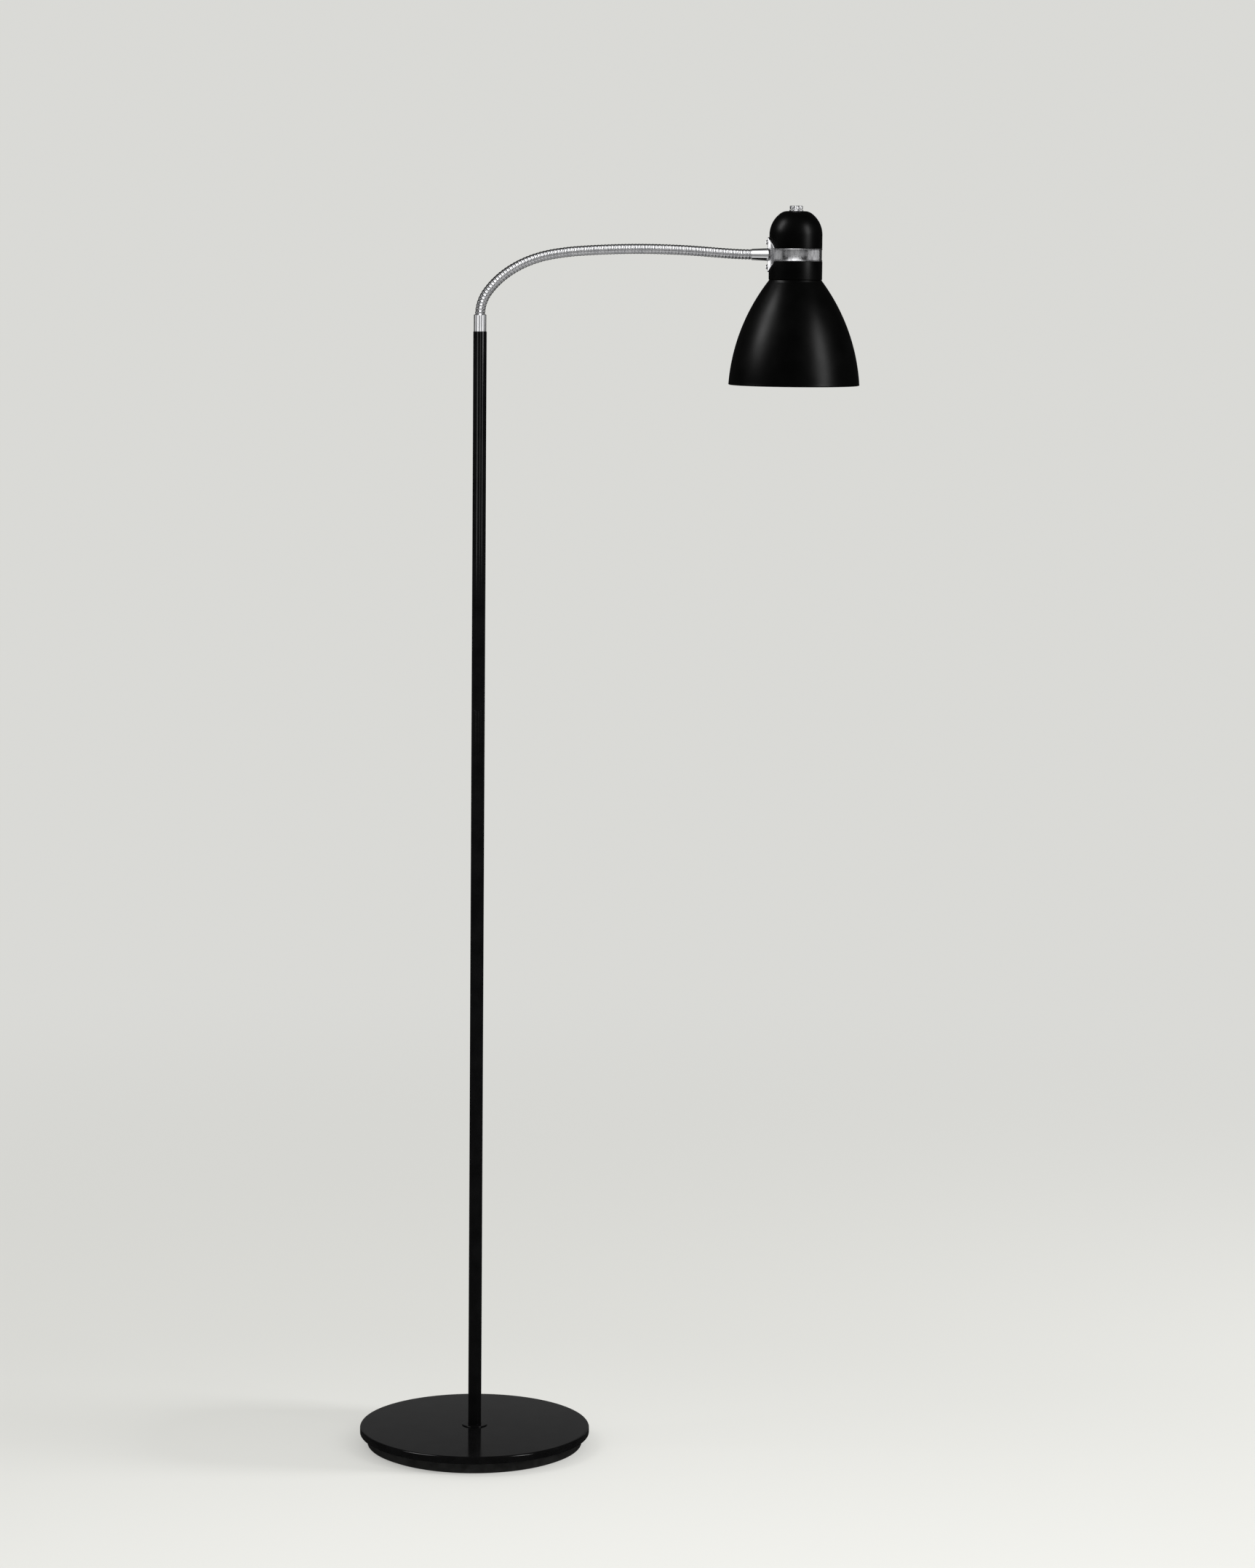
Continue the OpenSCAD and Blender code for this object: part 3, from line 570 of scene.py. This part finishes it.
def wound_wire_tree():
    """A wire wound round a centre line, between two lengths along it."""
    tree = bpy.data.node_groups.new("wound_wire", "GeometryNodeTree")
    take_sockets(tree, [("Centre line", "Geometry"), ("From", "Float"), ("To", "Float"),
                        ("Pitch", "Float"), ("Phase", "Float"), ("Coil radius", "Float"),
                        ("Wire radius", "Float"), ("Steps per turn", "Float"), ("Sides", "Int")])
    new, link = tree.nodes.new, tree.links.new
    given = new("NodeGroupInput").outputs
    length = maths(tree, "SUBTRACT", given["To"], given["From"])
    turns = maths(tree, "DIVIDE", length, given["Pitch"])
    steps = maths(tree, "CEIL", maths(tree, "MULTIPLY", turns, given["Steps per turn"]))
    line = new("GeometryNodeMeshLine")
    link(maths(tree, "ADD", steps, 1), line.inputs["Count"])
    share = maths(tree, "DIVIDE", new("GeometryNodeInputIndex").outputs[0], steps)
    along = maths(tree, "MULTIPLY_ADD", share, length, given["From"])
    path = new("GeometryNodeMeshToCurve")
    link(given["Centre line"], path.inputs["Mesh"])
    sample = new("GeometryNodeSampleCurve")
    sample.mode = "LENGTH"
    link(path.outputs["Curve"], sample.inputs["Curves"])
    link(along, sample.inputs["Length"])
    angle = maths(tree, "MULTIPLY", maths(tree, "ADD", maths(tree, "DIVIDE", along, given["Pitch"]),
                                          given["Phase"]), 2 * pi)
    outward = new("ShaderNodeVectorMath")
    outward.operation = "CROSS_PRODUCT"
    outward.inputs[0].default_value = (0, 1, 0)
    link(sample.outputs["Tangent"], outward.inputs[1])
    sideways = new("ShaderNodeCombineXYZ")
    link(maths(tree, "MULTIPLY", maths(tree, "SINE", angle), given["Coil radius"]),
         sideways.inputs["Y"])
    up = new("ShaderNodeVectorMath")
    up.operation = "SCALE"
    link(outward.outputs[0], up.inputs[0])
    link(maths(tree, "MULTIPLY", maths(tree, "COSINE", angle), given["Coil radius"]),
         up.inputs["Scale"])
    around = new("ShaderNodeVectorMath")
    link(up.outputs[0], around.inputs[0])
    link(sideways.outputs[0], around.inputs[1])
    spot = new("ShaderNodeVectorMath")
    link(sample.outputs["Position"], spot.inputs[0])
    link(around.outputs[0], spot.inputs[1])
    put = new("GeometryNodeSetPosition")
    link(line.outputs["Mesh"], put.inputs["Geometry"])
    link(spot.outputs[0], put.inputs["Position"])
    wire = new("GeometryNodeMeshToCurve")
    link(put.outputs["Geometry"], wire.inputs["Mesh"])
    section = new("GeometryNodeCurvePrimitiveCircle")
    link(given["Sides"], section.inputs["Resolution"])
    link(given["Wire radius"], section.inputs["Radius"])
    sweep = new("GeometryNodeCurveToMesh")
    sweep.inputs["Fill Caps"].default_value = True
    link(wire.outputs["Curve"], sweep.inputs["Curve"])
    link(section.outputs["Curve"], sweep.inputs["Profile Curve"])
    link(sweep.outputs["Mesh"], new("NodeGroupOutput").inputs[0])
    return tree


def gooseneck_tree():
    """One length of the gooseneck: the round wire, the wire in its gaps and the lining tube."""
    tree = bpy.data.node_groups.new("gooseneck_length", "GeometryNodeTree")
    inputs = take_sockets(tree, [("Centre line", "Geometry"), ("From", "Float"), ("To", "Float"),
                                 ("Pitch", "Float"), ("Neck radius", "Float"),
                                 ("Round wire radius", "Float"), ("Gap wire radius", "Float"),
                                 ("Gap wire depth", "Float"), ("Finish", "Material")])
    new, link = tree.nodes.new, tree.links.new
    given = new("NodeGroupInput").outputs
    wound = wound_wire_tree()
    join = new("GeometryNodeJoinGeometry")
    round_coil = maths(tree, "SUBTRACT", given["Neck radius"], given["Round wire radius"])
    gap_coil = maths(tree, "SUBTRACT", maths(tree, "SUBTRACT", given["Neck radius"],
                                             given["Gap wire depth"]), given["Gap wire radius"])
    windings = [(0.0, round_coil, given["Round wire radius"], 40, 14),
                (0.5, gap_coil, given["Gap wire radius"], 28, 10),
                (0.0, 0.0, round_coil, 3, 24)]
    for phase, coil, radius, steps, sides in windings:
        winding = new("GeometryNodeGroup")
        winding.node_tree = wound
        for name in ("Centre line", "From", "To", "Pitch"):
            link(given[name], winding.inputs[name])
        for name, value in (("Phase", phase), ("Coil radius", coil), ("Wire radius", radius),
                            ("Steps per turn", steps), ("Sides", sides)):
            if isinstance(value, (int, float)):
                winding.inputs[name].default_value = value
            else:
                link(value, winding.inputs[name])
        link(winding.outputs[0], join.inputs[0])
    soft = new("GeometryNodeSetShadeSmooth")
    real = new("GeometryNodeRealizeInstances")
    paint = new("GeometryNodeSetMaterial")
    link(join.outputs[0], soft.inputs[0])
    link(soft.outputs[0], real.inputs[0])
    link(real.outputs[0], paint.inputs["Geometry"])
    link(given["Finish"], paint.inputs["Material"])
    link(paint.outputs[0], new("NodeGroupOutput").inputs[0])
    return tree, inputs


pivots = [Vector(joint["pos_m"]) for joint in frame["joints"] if joint["name"].startswith("neck")]
neck_bodies = [joint["parent"] for joint in frame["joints"] if joint["name"].startswith("neck")]
neck_bodies.append("head")
neck_start = Vector((0, 0, ferrule_high))
mids = [neck_start] + [(a + b) / 2 for a, b in zip(pivots, pivots[1:])] + [sleeve_start]
tucked_in = 8 * mm
bend_step = radians(2)
nearly_straight = radians(0.05)

centre_line = [neck_start - Vector((0, 0, tucked_in)), neck_start]
lengths = [tucked_in]
for before, pivot, after in zip(mids, pivots, mids[1:]):
    heading_in = (pivot - before).normalized()
    heading_out = (after - pivot).normalized()
    turn = heading_in.angle(heading_out)
    steps = max(8, ceil(turn / bend_step))
    for k in range(1, steps + 1):
        t = k / steps
        if turn < nearly_straight:
            spot = before.lerp(after, t)
        else:
            radius = (pivot - before).length / tan(turn / 2)
            inward = (heading_out - heading_in * cos(turn)).normalized()
            spot = before + heading_in * radius * sin(turn * t) + inward * radius * (1 - cos(turn * t))
        centre_line.append(spot)
    run = (pivot - before).length * 2 if turn < nearly_straight else radius * turn
    lengths.append(lengths[-1] + run)
centre_line.append(sleeve_start + (sleeve_start - pivots[-1]).normalized() * tucked_in)

line_mesh = bpy.data.meshes.new("neck_centre_line")
line_mesh.from_pydata(centre_line, [(i, i + 1) for i in range(len(centre_line) - 1)], [])
line = bpy.data.objects.new("neck_centre_line", line_mesh)
scene.collection.objects.link(line)
neck_tree, neck_inputs = gooseneck_tree()
winding = line.modifiers.new("winding", "NODES")
winding.node_group = neck_tree
neck_finish = wire_chrome()
overlap = 0.05 * mm
settings = {"Pitch": 4.0 * mm, "Neck radius": neck_r, "Round wire radius": 2.9 * mm,
            "Gap wire radius": 1.5 * mm, "Gap wire depth": 0.3 * mm, "Finish": neck_finish}
for name, value in settings.items():
    winding[neck_inputs[name]] = value
last = len(pivots) - 1
for i in range(len(pivots)):
    winding[neck_inputs["From"]] = 0.0 if i == 0 else lengths[i] - overlap
    winding[neck_inputs["To"]] = lengths[i + 1] + (tucked_in if i == last else overlap)
    line.update_tag()
    graph = bpy.context.evaluated_depsgraph_get()
    graph.update()
    mesh = bpy.data.meshes.new_from_object(line.evaluated_get(graph))
    mesh.name = f"gooseneck_{i + 1:02d}"
    length = bpy.data.objects.new(mesh.name, mesh)
    scene.collection.objects.link(length)
    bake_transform(length)
    nodes = [f"neck_link_{i + 1:02d}"] + ([f"neck_link_{i + 2:02d}"] if i == last else [])
    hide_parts(*nodes)
bpy.data.objects.remove(line)


# Saddle and band. One stamped and chromed strap: a round saddle, curved to the head, carries the
# arm, and runs out into a band with rolled edges that goes round between the cap and the collar.
def satin_chrome():
    finish, shader, place = start_finish("satin_chrome", (0.5, 0.5, 0.51), 1.0)
    tinted(finish, grain(finish, place, 4 * mm, 8, (1, 1, 3)), shader.inputs["Base Color"],
           (0.30, 0.30, 0.31), (0.58, 0.58, 0.59))
    ranged(finish, grain(finish, place, 2.5 * mm, 6), shader.inputs["Roughness"], 0.16, 0.36)
    raised(finish, shader, grain(finish, place, 0.9 * mm, 4, (1, 1, 4)), 0.03 * mm, 0.5)
    return finish


saddle_r = 20.5 * mm
strap_half_h = 7.55 * mm
arm_z = sleeve_start.z
strap_r = 31.6 * mm
strap_in_r = 30.1 * mm
saddle_in_r = saddle_out_r - 1.75 * mm
inner_corner_r = 2.5 * mm
rolled_r = 0.8 * mm
dip = 0.6 * mm


def strap_half_height(aside):
    """Half the strap's height, this far aside of the arm: saddle, inner corner, then band."""
    corner_at = sqrt((saddle_r + inner_corner_r) ** 2 - (strap_half_h + inner_corner_r) ** 2)
    if aside >= corner_at:
        return strap_half_h
    if aside > corner_at * saddle_r / (saddle_r + inner_corner_r):
        return strap_half_h + inner_corner_r - sqrt(inner_corner_r ** 2 - (corner_at - aside) ** 2)
    return sqrt(saddle_r ** 2 - aside ** 2)


def eased(value, start, end):
    share = min(1, max(0, (value - start) / (end - start)))
    return share * share * (3 - 2 * share)


def strap_section(angle):
    """The strap's section, as (radius, z), this far round the head from the arm."""
    aside = saddle_out_r * abs(sin(angle)) if cos(angle) > 0 else 1
    half_h = strap_half_height(aside)
    into_band = eased(aside, 13 * mm, 23 * mm)
    outside = saddle_out_r + (strap_r - saddle_out_r) * into_band
    inside = saddle_in_r if aside < saddle_r else strap_in_r
    section = []
    from_edge = [rolled_r * (1 - cos(radians(a))) for a in range(0, 91, 15)]
    from_edge += [rolled_r + k * 0.25 * mm for k in range(1, 5)]
    for side in (-1, 1):
        edge = []
        for d in from_edge:
            rise = sqrt(max(0, rolled_r ** 2 - (rolled_r - d) ** 2)) if d < rolled_r else rolled_r
            sink = dip * into_band * eased(d, rolled_r, rolled_r + 1.0 * mm)
            edge.append((outside - rolled_r + rise - sink, side * (half_h - d)))
        section += edge if side < 0 else edge[::-1]
    section += [(inside + 0.2 * mm, half_h), (inside, half_h - 0.2 * mm)]
    section += [(inside, -half_h + 0.2 * mm), (inside + 0.2 * mm, -half_h)]
    return section


def strap_mesh(name, around=360):
    shape = bmesh.new()
    rings = []
    for k in range(around):
        angle = 2 * pi * k / around
        rings.append([shape.verts.new((axis_x - r * cos(angle), -r * sin(angle), arm_z + z))
                      for r, z in strap_section(angle)])
    for k in range(around):
        here, there = rings[k], rings[(k + 1) % around]
        for i in range(len(here)):
            n = (i + 1) % len(here)
            shape.faces.new([here[i], here[n], there[n], there[i]])
    bmesh.ops.recalc_face_normals(shape, faces=shape.faces)
    mesh = bpy.data.meshes.new(name)
    shape.to_mesh(mesh)
    shape.free()
    smooth(mesh, 40)
    return mesh


fit(strap_mesh("saddle_band"), [satin_chrome()], "head", ["band"])


# Saddle screws. Two domed screws with a slot, above and below the arm, hold the saddle and the
# cap and collar under it to the steel sleeve inside.
screws_low, screws_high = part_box("saddle_screws")
screw_r = (screws_high.y - screws_low.y) / 2
screw_gap = screws_high.z - screws_low.z - 2 * screw_r
screw_head_h = 2.2 * mm
shank_r = 1.5 * mm
shank_len = screws_high.x - screws_low.x
slot_w = 0.8 * mm
slot_deep = 0.8 * mm

screw = bpy.data.objects.new("screw", turned("screw", [
    (0, 0), (screw_r * 0.62, 0.1 * mm, 1.6 * mm), (screw_r, screw_head_h * 0.8, 0.8 * mm),
    (screw_r, screw_head_h, 0.2 * mm), (shank_r, screw_head_h), (shank_r, shank_len, 0.4 * mm),
    (0, shank_len)], sides=48))
cutter_mesh = bpy.data.meshes.new("slot_cutter")
cutter_shape = bmesh.new()
bmesh.ops.create_cube(cutter_shape, size=1)
bmesh.ops.scale(cutter_shape, vec=(4 * screw_r, slot_w, 2 * slot_deep), verts=cutter_shape.verts)
cutter_shape.to_mesh(cutter_mesh)
cutter_shape.free()
cutter = bpy.data.objects.new("slot_cutter", cutter_mesh)
scene.collection.objects.link(screw)
scene.collection.objects.link(cutter)
cut = screw.modifiers.new("slot", "BOOLEAN")
cut.operation = "DIFFERENCE"
cut.object = cutter


def screw_row_tree():
    """Copies of one screw in a row, from the first one's place."""
    tree = bpy.data.node_groups.new("screw_row", "GeometryNodeTree")
    inputs = take_sockets(tree, [("Screw", "Geometry"), ("Count", "Int"), ("First", "Vector"),
                                 ("Step", "Vector"), ("Turn", "Rotation"), ("Finish", "Material")])
    new, link = tree.nodes.new, tree.links.new
    given = new("NodeGroupInput").outputs
    row = new("GeometryNodeMeshLine")
    copies = new("GeometryNodeInstanceOnPoints")
    real = new("GeometryNodeRealizeInstances")
    paint = new("GeometryNodeSetMaterial")
    link(given["Count"], row.inputs["Count"])
    link(given["First"], row.inputs["Start Location"])
    link(given["Step"], row.inputs["Offset"])
    link(row.outputs["Mesh"], copies.inputs["Points"])
    link(given["Screw"], copies.inputs["Instance"])
    link(given["Turn"], copies.inputs["Rotation"])
    link(copies.outputs[0], real.inputs[0])
    link(real.outputs[0], paint.inputs["Geometry"])
    link(given["Finish"], paint.inputs["Material"])
    link(paint.outputs[0], new("NodeGroupOutput").inputs[0])
    return tree, inputs


row_tree, row_inputs = screw_row_tree()
row = screw.modifiers.new("row", "NODES")
row.node_group = row_tree
for name, value in {"Count": 2, "First": (screws_low.x, 0, screws_low.z + screw_r),
                    "Step": (0, 0, screw_gap), "Turn": (0, pi / 2, 0), "Finish": chrome}.items():
    row[row_inputs[name]] = value
graph = bpy.context.evaluated_depsgraph_get()
screw_pair = bpy.data.meshes.new_from_object(screw.evaluated_get(graph))
screw_pair.name = "saddle_screw_pair"
smooth(screw_pair, 35)
bpy.data.objects.remove(screw)
bpy.data.objects.remove(cutter)
screw_pair.materials.clear()
fit(screw_pair, [chrome], "head", ["saddle_screws"])


# Cap and collar. Pressed steel shells in satin black enamel: a domed cap above the band and a
# short collar below it, which the shade hangs from.
def satin_enamel():
    finish, shader, place = start_finish("satin_black_enamel", (0.0008, 0.0008, 0.0008),
                                         Specular_IOR_Level=0.25)
    ranged(finish, grain(finish, place, 30 * mm), shader.inputs["Roughness"], 0.31, 0.37)
    tinted(finish, grain(finish, place, 25 * mm), shader.inputs["Base Color"],
           (0.0005, 0.0005, 0.0005), (0.0012, 0.0012, 0.0012))
    raised(finish, shader, grain(finish, place, 0.6 * mm, 2), 0.01 * mm, 0.35)
    return finish


def arc(centre, radius, start, end, steps):
    """Points on a round stretch of an outline, from one angle to another, in degrees."""
    angles = [radians(start + (end - start) * k / steps) for k in range(steps + 1)]
    return [(centre[0] + radius * cos(a), centre[1] + radius * sin(a)) for a in angles]


satin = satin_enamel()
on_the_head = Matrix.Translation((axis_x, 0, 0))
cap_r, cap_low, cap_high, _ = span("dome_cap")
cap_wall = 1.4 * mm
cap_dome_h = 27.9 * mm
bush_hole_r = 5 * mm
crown_rounding = 14 * mm
crown_below = radians(10)
dome_centre = (0, cap_high - cap_dome_h)
dome_end = asin(cap_dome_h / cap_r) - crown_below
crown_x = cap_r * cos(dome_end) - (cap_dome_h - cap_r * sin(dome_end)) * tan(dome_end)
inner_stop = asin((cap_dome_h - cap_wall) / (cap_r - cap_wall)) * 180 / pi
fit(turned("domed_cap", [
        (cap_r - cap_wall, cap_low, 0.3 * mm), (cap_r, cap_low, 0.5 * mm),
        *arc(dome_centre, cap_r, 0, dome_end * 180 / pi, 30),
        (crown_x, cap_high, crown_rounding),
        (bush_hole_r, cap_high), (bush_hole_r, cap_high - cap_wall),
        *arc(dome_centre, cap_r - cap_wall, inner_stop, 0, 24)], on_the_head),
    [satin], "head", ["dome_cap"])

collar_r, collar_low, collar_high, _ = span("collar")
holder_hole_r = 20.2 * mm
fit(turned("head_collar", [
        (holder_hole_r, collar_low), (collar_r, collar_low, 0.7 * mm),
        (collar_r, collar_high, 0.5 * mm), (cap_r - cap_wall, collar_high, 0.3 * mm),
        (cap_r - cap_wall, collar_low + cap_wall), (holder_hole_r, collar_low + cap_wall)],
        on_the_head),
    [satin], "head", ["collar"])


# Shade. A spun steel bell with a rolled rim, satin black outside and white enamel inside, clamped
# under the collar by the lampholder's ring.
def white_enamel():
    finish, shader, place = start_finish("white_reflector_enamel", (0.82, 0.81, 0.78))
    ranged(finish, grain(finish, place, 25 * mm), shader.inputs["Roughness"], 0.3, 0.4)
    tinted(finish, grain(finish, place, 30 * mm), shader.inputs["Base Color"],
           (0.79, 0.78, 0.74), (0.84, 0.83, 0.80))
    raised(finish, shader, grain(finish, place, 0.8 * mm, 2), 0.015 * mm, 0.4)
    return finish


shade_r, rim_z, shade_top, _ = span("shade")
shade_top_r = 31.6 * mm
shade_side_r = 228 * mm
shade_wall = 0.8 * mm
shade_flange_t = 1.2 * mm
shade_seam_in = 0.2 * mm
bead_r = 1.2 * mm
side_top = Vector((shade_top_r, shade_top - shade_flange_t))
side_foot = Vector((shade_r, rim_z))
half_side = (side_foot - side_top) / 2
inward = Vector((half_side.y, -half_side.x)).normalized()
side_centre = side_top + half_side + inward * sqrt(shade_side_r ** 2 - half_side.length ** 2)


def side_angle(point, z_up=0):
    """The angle on the shade's side arc at a point's height, in degrees."""
    return asin((point.y + z_up - side_centre.y) / shade_side_r) * 180 / pi


top_angle = side_angle(side_top)
foot_angle = side_angle(side_foot, 1.6 * bead_r)
shade_outline = [
    (holder_hole_r, shade_top), (shade_top_r - shade_seam_in, shade_top, 1.1 * mm),
    *arc(side_centre, shade_side_r, top_angle, foot_angle, 40),
    *arc((shade_r - bead_r, rim_z + bead_r), bead_r, 20, -200, 16),
    *arc(side_centre, shade_side_r - shade_wall, foot_angle + 0.2, top_angle - 0.2, 40),
    (shade_top_r - 1.6 * shade_wall, side_top.y), (holder_hole_r, side_top.y)]
shade_mesh = turned("bell_shade", shade_outline, on_the_head, sides=224)
for face in shade_mesh.polygons:
    outward = face.center.x - axis_x, face.center.y
    faces_in = face.normal.x * outward[0] + face.normal.y * outward[1] < -0.1 * shade_top_r
    faces_down = face.normal.z < -0.5 and face.center.z > side_top.y - shade_wall
    face.material_index = 1 if faces_in or faces_down else 0
fit(shade_mesh, [satin, white_enamel()], "head", ["shade"])


# Lampholder. A moulded bakelite skirt with a screwed ring that clamps the shade, round the brass
# screw shell and the bulb's nickelled cap.
clamp_r, clamp_low, clamp_high, _ = span("shade_ring")
skirt_r, skirt_low, skirt_high, _ = span("holder_skirt")
holder_r = 20 * mm
skirt_bore_r = 14.6 * mm
flange_low = shade_top + 1.4 * mm
flange_t = 2.6 * mm
grips = 24
grip_depth = 0.8 * mm
clamp_ring = turned("shade_clamp_ring", [
    (holder_r, clamp_low, 0.5 * mm), (clamp_r, clamp_low, 1.2 * mm),
    (clamp_r, clamp_high, 0.4 * mm), (holder_r, clamp_high)], on_the_head, sides=grips * 10)
for point in clamp_ring.vertices:
    aside = Vector((point.co.x - axis_x, point.co.y))
    if aside.length > holder_r + 2 * mm:
        wave = 0.5 + 0.5 * cos(grips * atan2(aside.y, aside.x))
        aside *= 1 - grip_depth * eased(wave, 0.2, 0.8) / aside.length
        point.co.x, point.co.y = axis_x + aside.x, aside.y
smooth(clamp_ring, 40)
fit(clamp_ring, [bakelite], "head", ["shade_ring"])

fit(turned("lampholder_skirt", [
        (skirt_bore_r, skirt_low, 0.8 * mm), (holder_r - 0.1 * mm, skirt_low, 0.8 * mm),
        (holder_r - 0.1 * mm, flange_low), (skirt_r, flange_low, 0.3 * mm),
        (skirt_r, flange_low + flange_t, 0.3 * mm), (holder_r, flange_low + flange_t),
        (holder_r, skirt_high), (skirt_bore_r, skirt_high)], on_the_head, sides=96),
    [bakelite], "head", ["holder_skirt"])


# Bulb. A pear of opal glass, coated white inside, cemented in a nickelled screw cap with rolled
# threads.
def opal_glass():
    finish, shader, place = start_finish("opal_glass", (0.86, 0.855, 0.83), Coat_Weight=0.6,
                                         Coat_Roughness=0.05)
    ranged(finish, grain(finish, place, 15 * mm), shader.inputs["Roughness"], 0.18, 0.26)
    tinted(finish, grain(finish, place, 22 * mm), shader.inputs["Base Color"],
           (0.83, 0.825, 0.795), (0.88, 0.875, 0.85))
    return finish


def nickel():
    finish, shader, place = start_finish("cap_nickel", (0.66, 0.64, 0.60), 1.0)
    tinted(finish, grain(finish, place, 5 * mm), shader.inputs["Base Color"],
           (0.56, 0.54, 0.50), (0.70, 0.68, 0.64))
    ranged(finish, grain(finish, place, 3 * mm), shader.inputs["Roughness"], 0.2, 0.34)
    return finish


glass_r, glass_low, glass_high, _ = span("bulb_glass")
glass_neck_r = 12.2 * mm
glass_taper = 35
glass_neck_rounding = 14 * mm
ball_z = glass_low + glass_r
taper_low = Vector((glass_r * cos(radians(glass_taper)), ball_z + glass_r * sin(radians(glass_taper))))
taper_top_z = taper_low.y + (taper_low.x - glass_neck_r) / tan(radians(glass_taper))
fit(turned("opal_bulb", [
        (0, glass_low), *arc((0, ball_z), glass_r, -87, glass_taper, 40),
        (glass_neck_r, taper_top_z, glass_neck_rounding), (glass_neck_r, glass_high),
        (0, glass_high)],
        on_the_head, sides=96),
    [opal_glass()], "head", ["bulb_glass"])

thread_r, thread_low, thread_high, _ = span("bulb_cap")
thread_pitch = 3.6 * mm
thread_depth = 0.8 * mm
contact_r, contact_h = 4.5 * mm, 3 * mm
cap_body_h = thread_high - contact_h - thread_low
threads = [(thread_r - thread_depth / 2 * (1 - cos(2 * pi * z / thread_pitch)), thread_low + z)
           for z in [cap_body_h * k / 60 for k in range(10, 55)]]
fit(turned("bulb_screw_cap", [
        (glass_neck_r, thread_low), (thread_r - thread_depth, thread_low, 0.2 * mm),
        (thread_r - thread_depth, thread_low + 0.14 * cap_body_h), *threads,
        (contact_r + 2 * mm, thread_high - contact_h, 1.5 * mm),
        (contact_r, thread_high - contact_h), (contact_r, thread_high, 1.2 * mm), (0, thread_high),
        (0, thread_high - contact_h - 1 * mm), (glass_neck_r, thread_high - contact_h - 2 * mm)],
        on_the_head, sides=96),
    [nickel()], "head", ["bulb_cap"])


# Switch. A chromed ring nut holds the rotary switch in the top of the cap, and a fluted chrome
# knob turns on its shaft.
nut_r, nut_low, nut_high, _ = span("switch_ring")
fit(turned("switch_ring_nut", [
        (bush_hole_r, nut_low), (nut_r, nut_low, 0.15 * mm), (nut_r, nut_high, 0.9 * mm),
        (bush_hole_r, nut_high, 0.2 * mm)], on_the_head, sides=96),
    [chrome], "head", ["switch_ring"])

knob_r, knob_low, knob_high, _ = span("switch_knob")
flutes = 12
flute_r = 1.0 * mm
flute_at = knob_r + flute_r / 2
shaft_r = 3 * mm
shaft_hole_z = knob_low + 3 * mm
knob_edge = 0.7 * mm
knob_crown = 0.25 * mm
steps_per_flute = 18


def fluted_r(angle):
    """The knob's radius this far round: a flute is a round cut in its edge."""
    off = (angle + pi / flutes) % (2 * pi / flutes) - pi / flutes
    reach = flute_r ** 2 - (flute_at * sin(off)) ** 2
    return min(knob_r, flute_at * cos(off) - sqrt(reach)) if reach > 0 else knob_r


def knob_mesh(name):
    levels = [(0.4 * mm, knob_low), (0, knob_low + 0.4 * mm), (0, knob_high - knob_edge - knob_crown)]
    levels += [(knob_edge * (1 - cos(a)), knob_high - knob_crown - knob_edge * (1 - sin(a)))
               for a in [radians(15 * k) for k in range(1, 7)]]
    shape = bmesh.new()
    around = flutes * steps_per_flute
    angles = [2 * pi * k / around for k in range(around)]
    rings = [[shape.verts.new((shaft_r * cos(a), shaft_r * sin(a), z)) for a in angles]
             for z in (shaft_hole_z, knob_low)]
    rings += [[shape.verts.new(((fluted_r(a) - inset) * cos(a), (fluted_r(a) - inset) * sin(a), z))
               for a in angles] for inset, z in levels]
    inner = [(0.75, 0.6), (0.5, 0.85), (0.25, 0.97)]
    rings += [[shape.verts.new((share * knob_r * cos(a), share * knob_r * sin(a),
                                knob_high - knob_crown * (1 - rise))) for a in angles]
              for share, rise in inner]
    for low, high in zip(rings, rings[1:]):
        for k in range(around):
            n = (k + 1) % around
            shape.faces.new([low[k], low[n], high[n], high[k]])
    for ring, z in ((rings[0], shaft_hole_z), (rings[-1], knob_high)):
        pole = shape.verts.new((0, 0, z))
        for k in range(around):
            shape.faces.new([ring[k], ring[(k + 1) % around], pole])
    bmesh.ops.recalc_face_normals(shape, faces=shape.faces)
    mesh = bpy.data.meshes.new(name)
    shape.to_mesh(mesh)
    shape.free()
    mesh.transform(on_the_head)
    smooth(mesh, 40)
    return mesh


fit(knob_mesh("fluted_knob"), [chrome], "knob", ["switch_knob"])


# Light sets. Each piece joins the lights that are kept for bright work or for dark work, and the
# saddle, the knob, the base and the stem join their own as well.
own_sets = {"saddle_band": "saddle", "saddle_screw_pair": "saddle", "fluted_knob": "knob",
            "pressed_cover": "base", "stem_disc": "base", "stem_tube_low": "stem",
            "stem_tube_high": "stem", "stem_sleeve": "stem"}
for piece in dict.fromkeys([*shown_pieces(), *frame["nodes"].values(), floor_piece]):
    names = [slot.material.name for slot in piece.material_slots if slot.material]
    bright = any("chrome" in name for name in names)
    light_sets["bright" if bright else "dark"].objects.link(piece)
    if piece.name in own_sets:
        light_sets[own_sets[piece.name]].objects.link(piece)
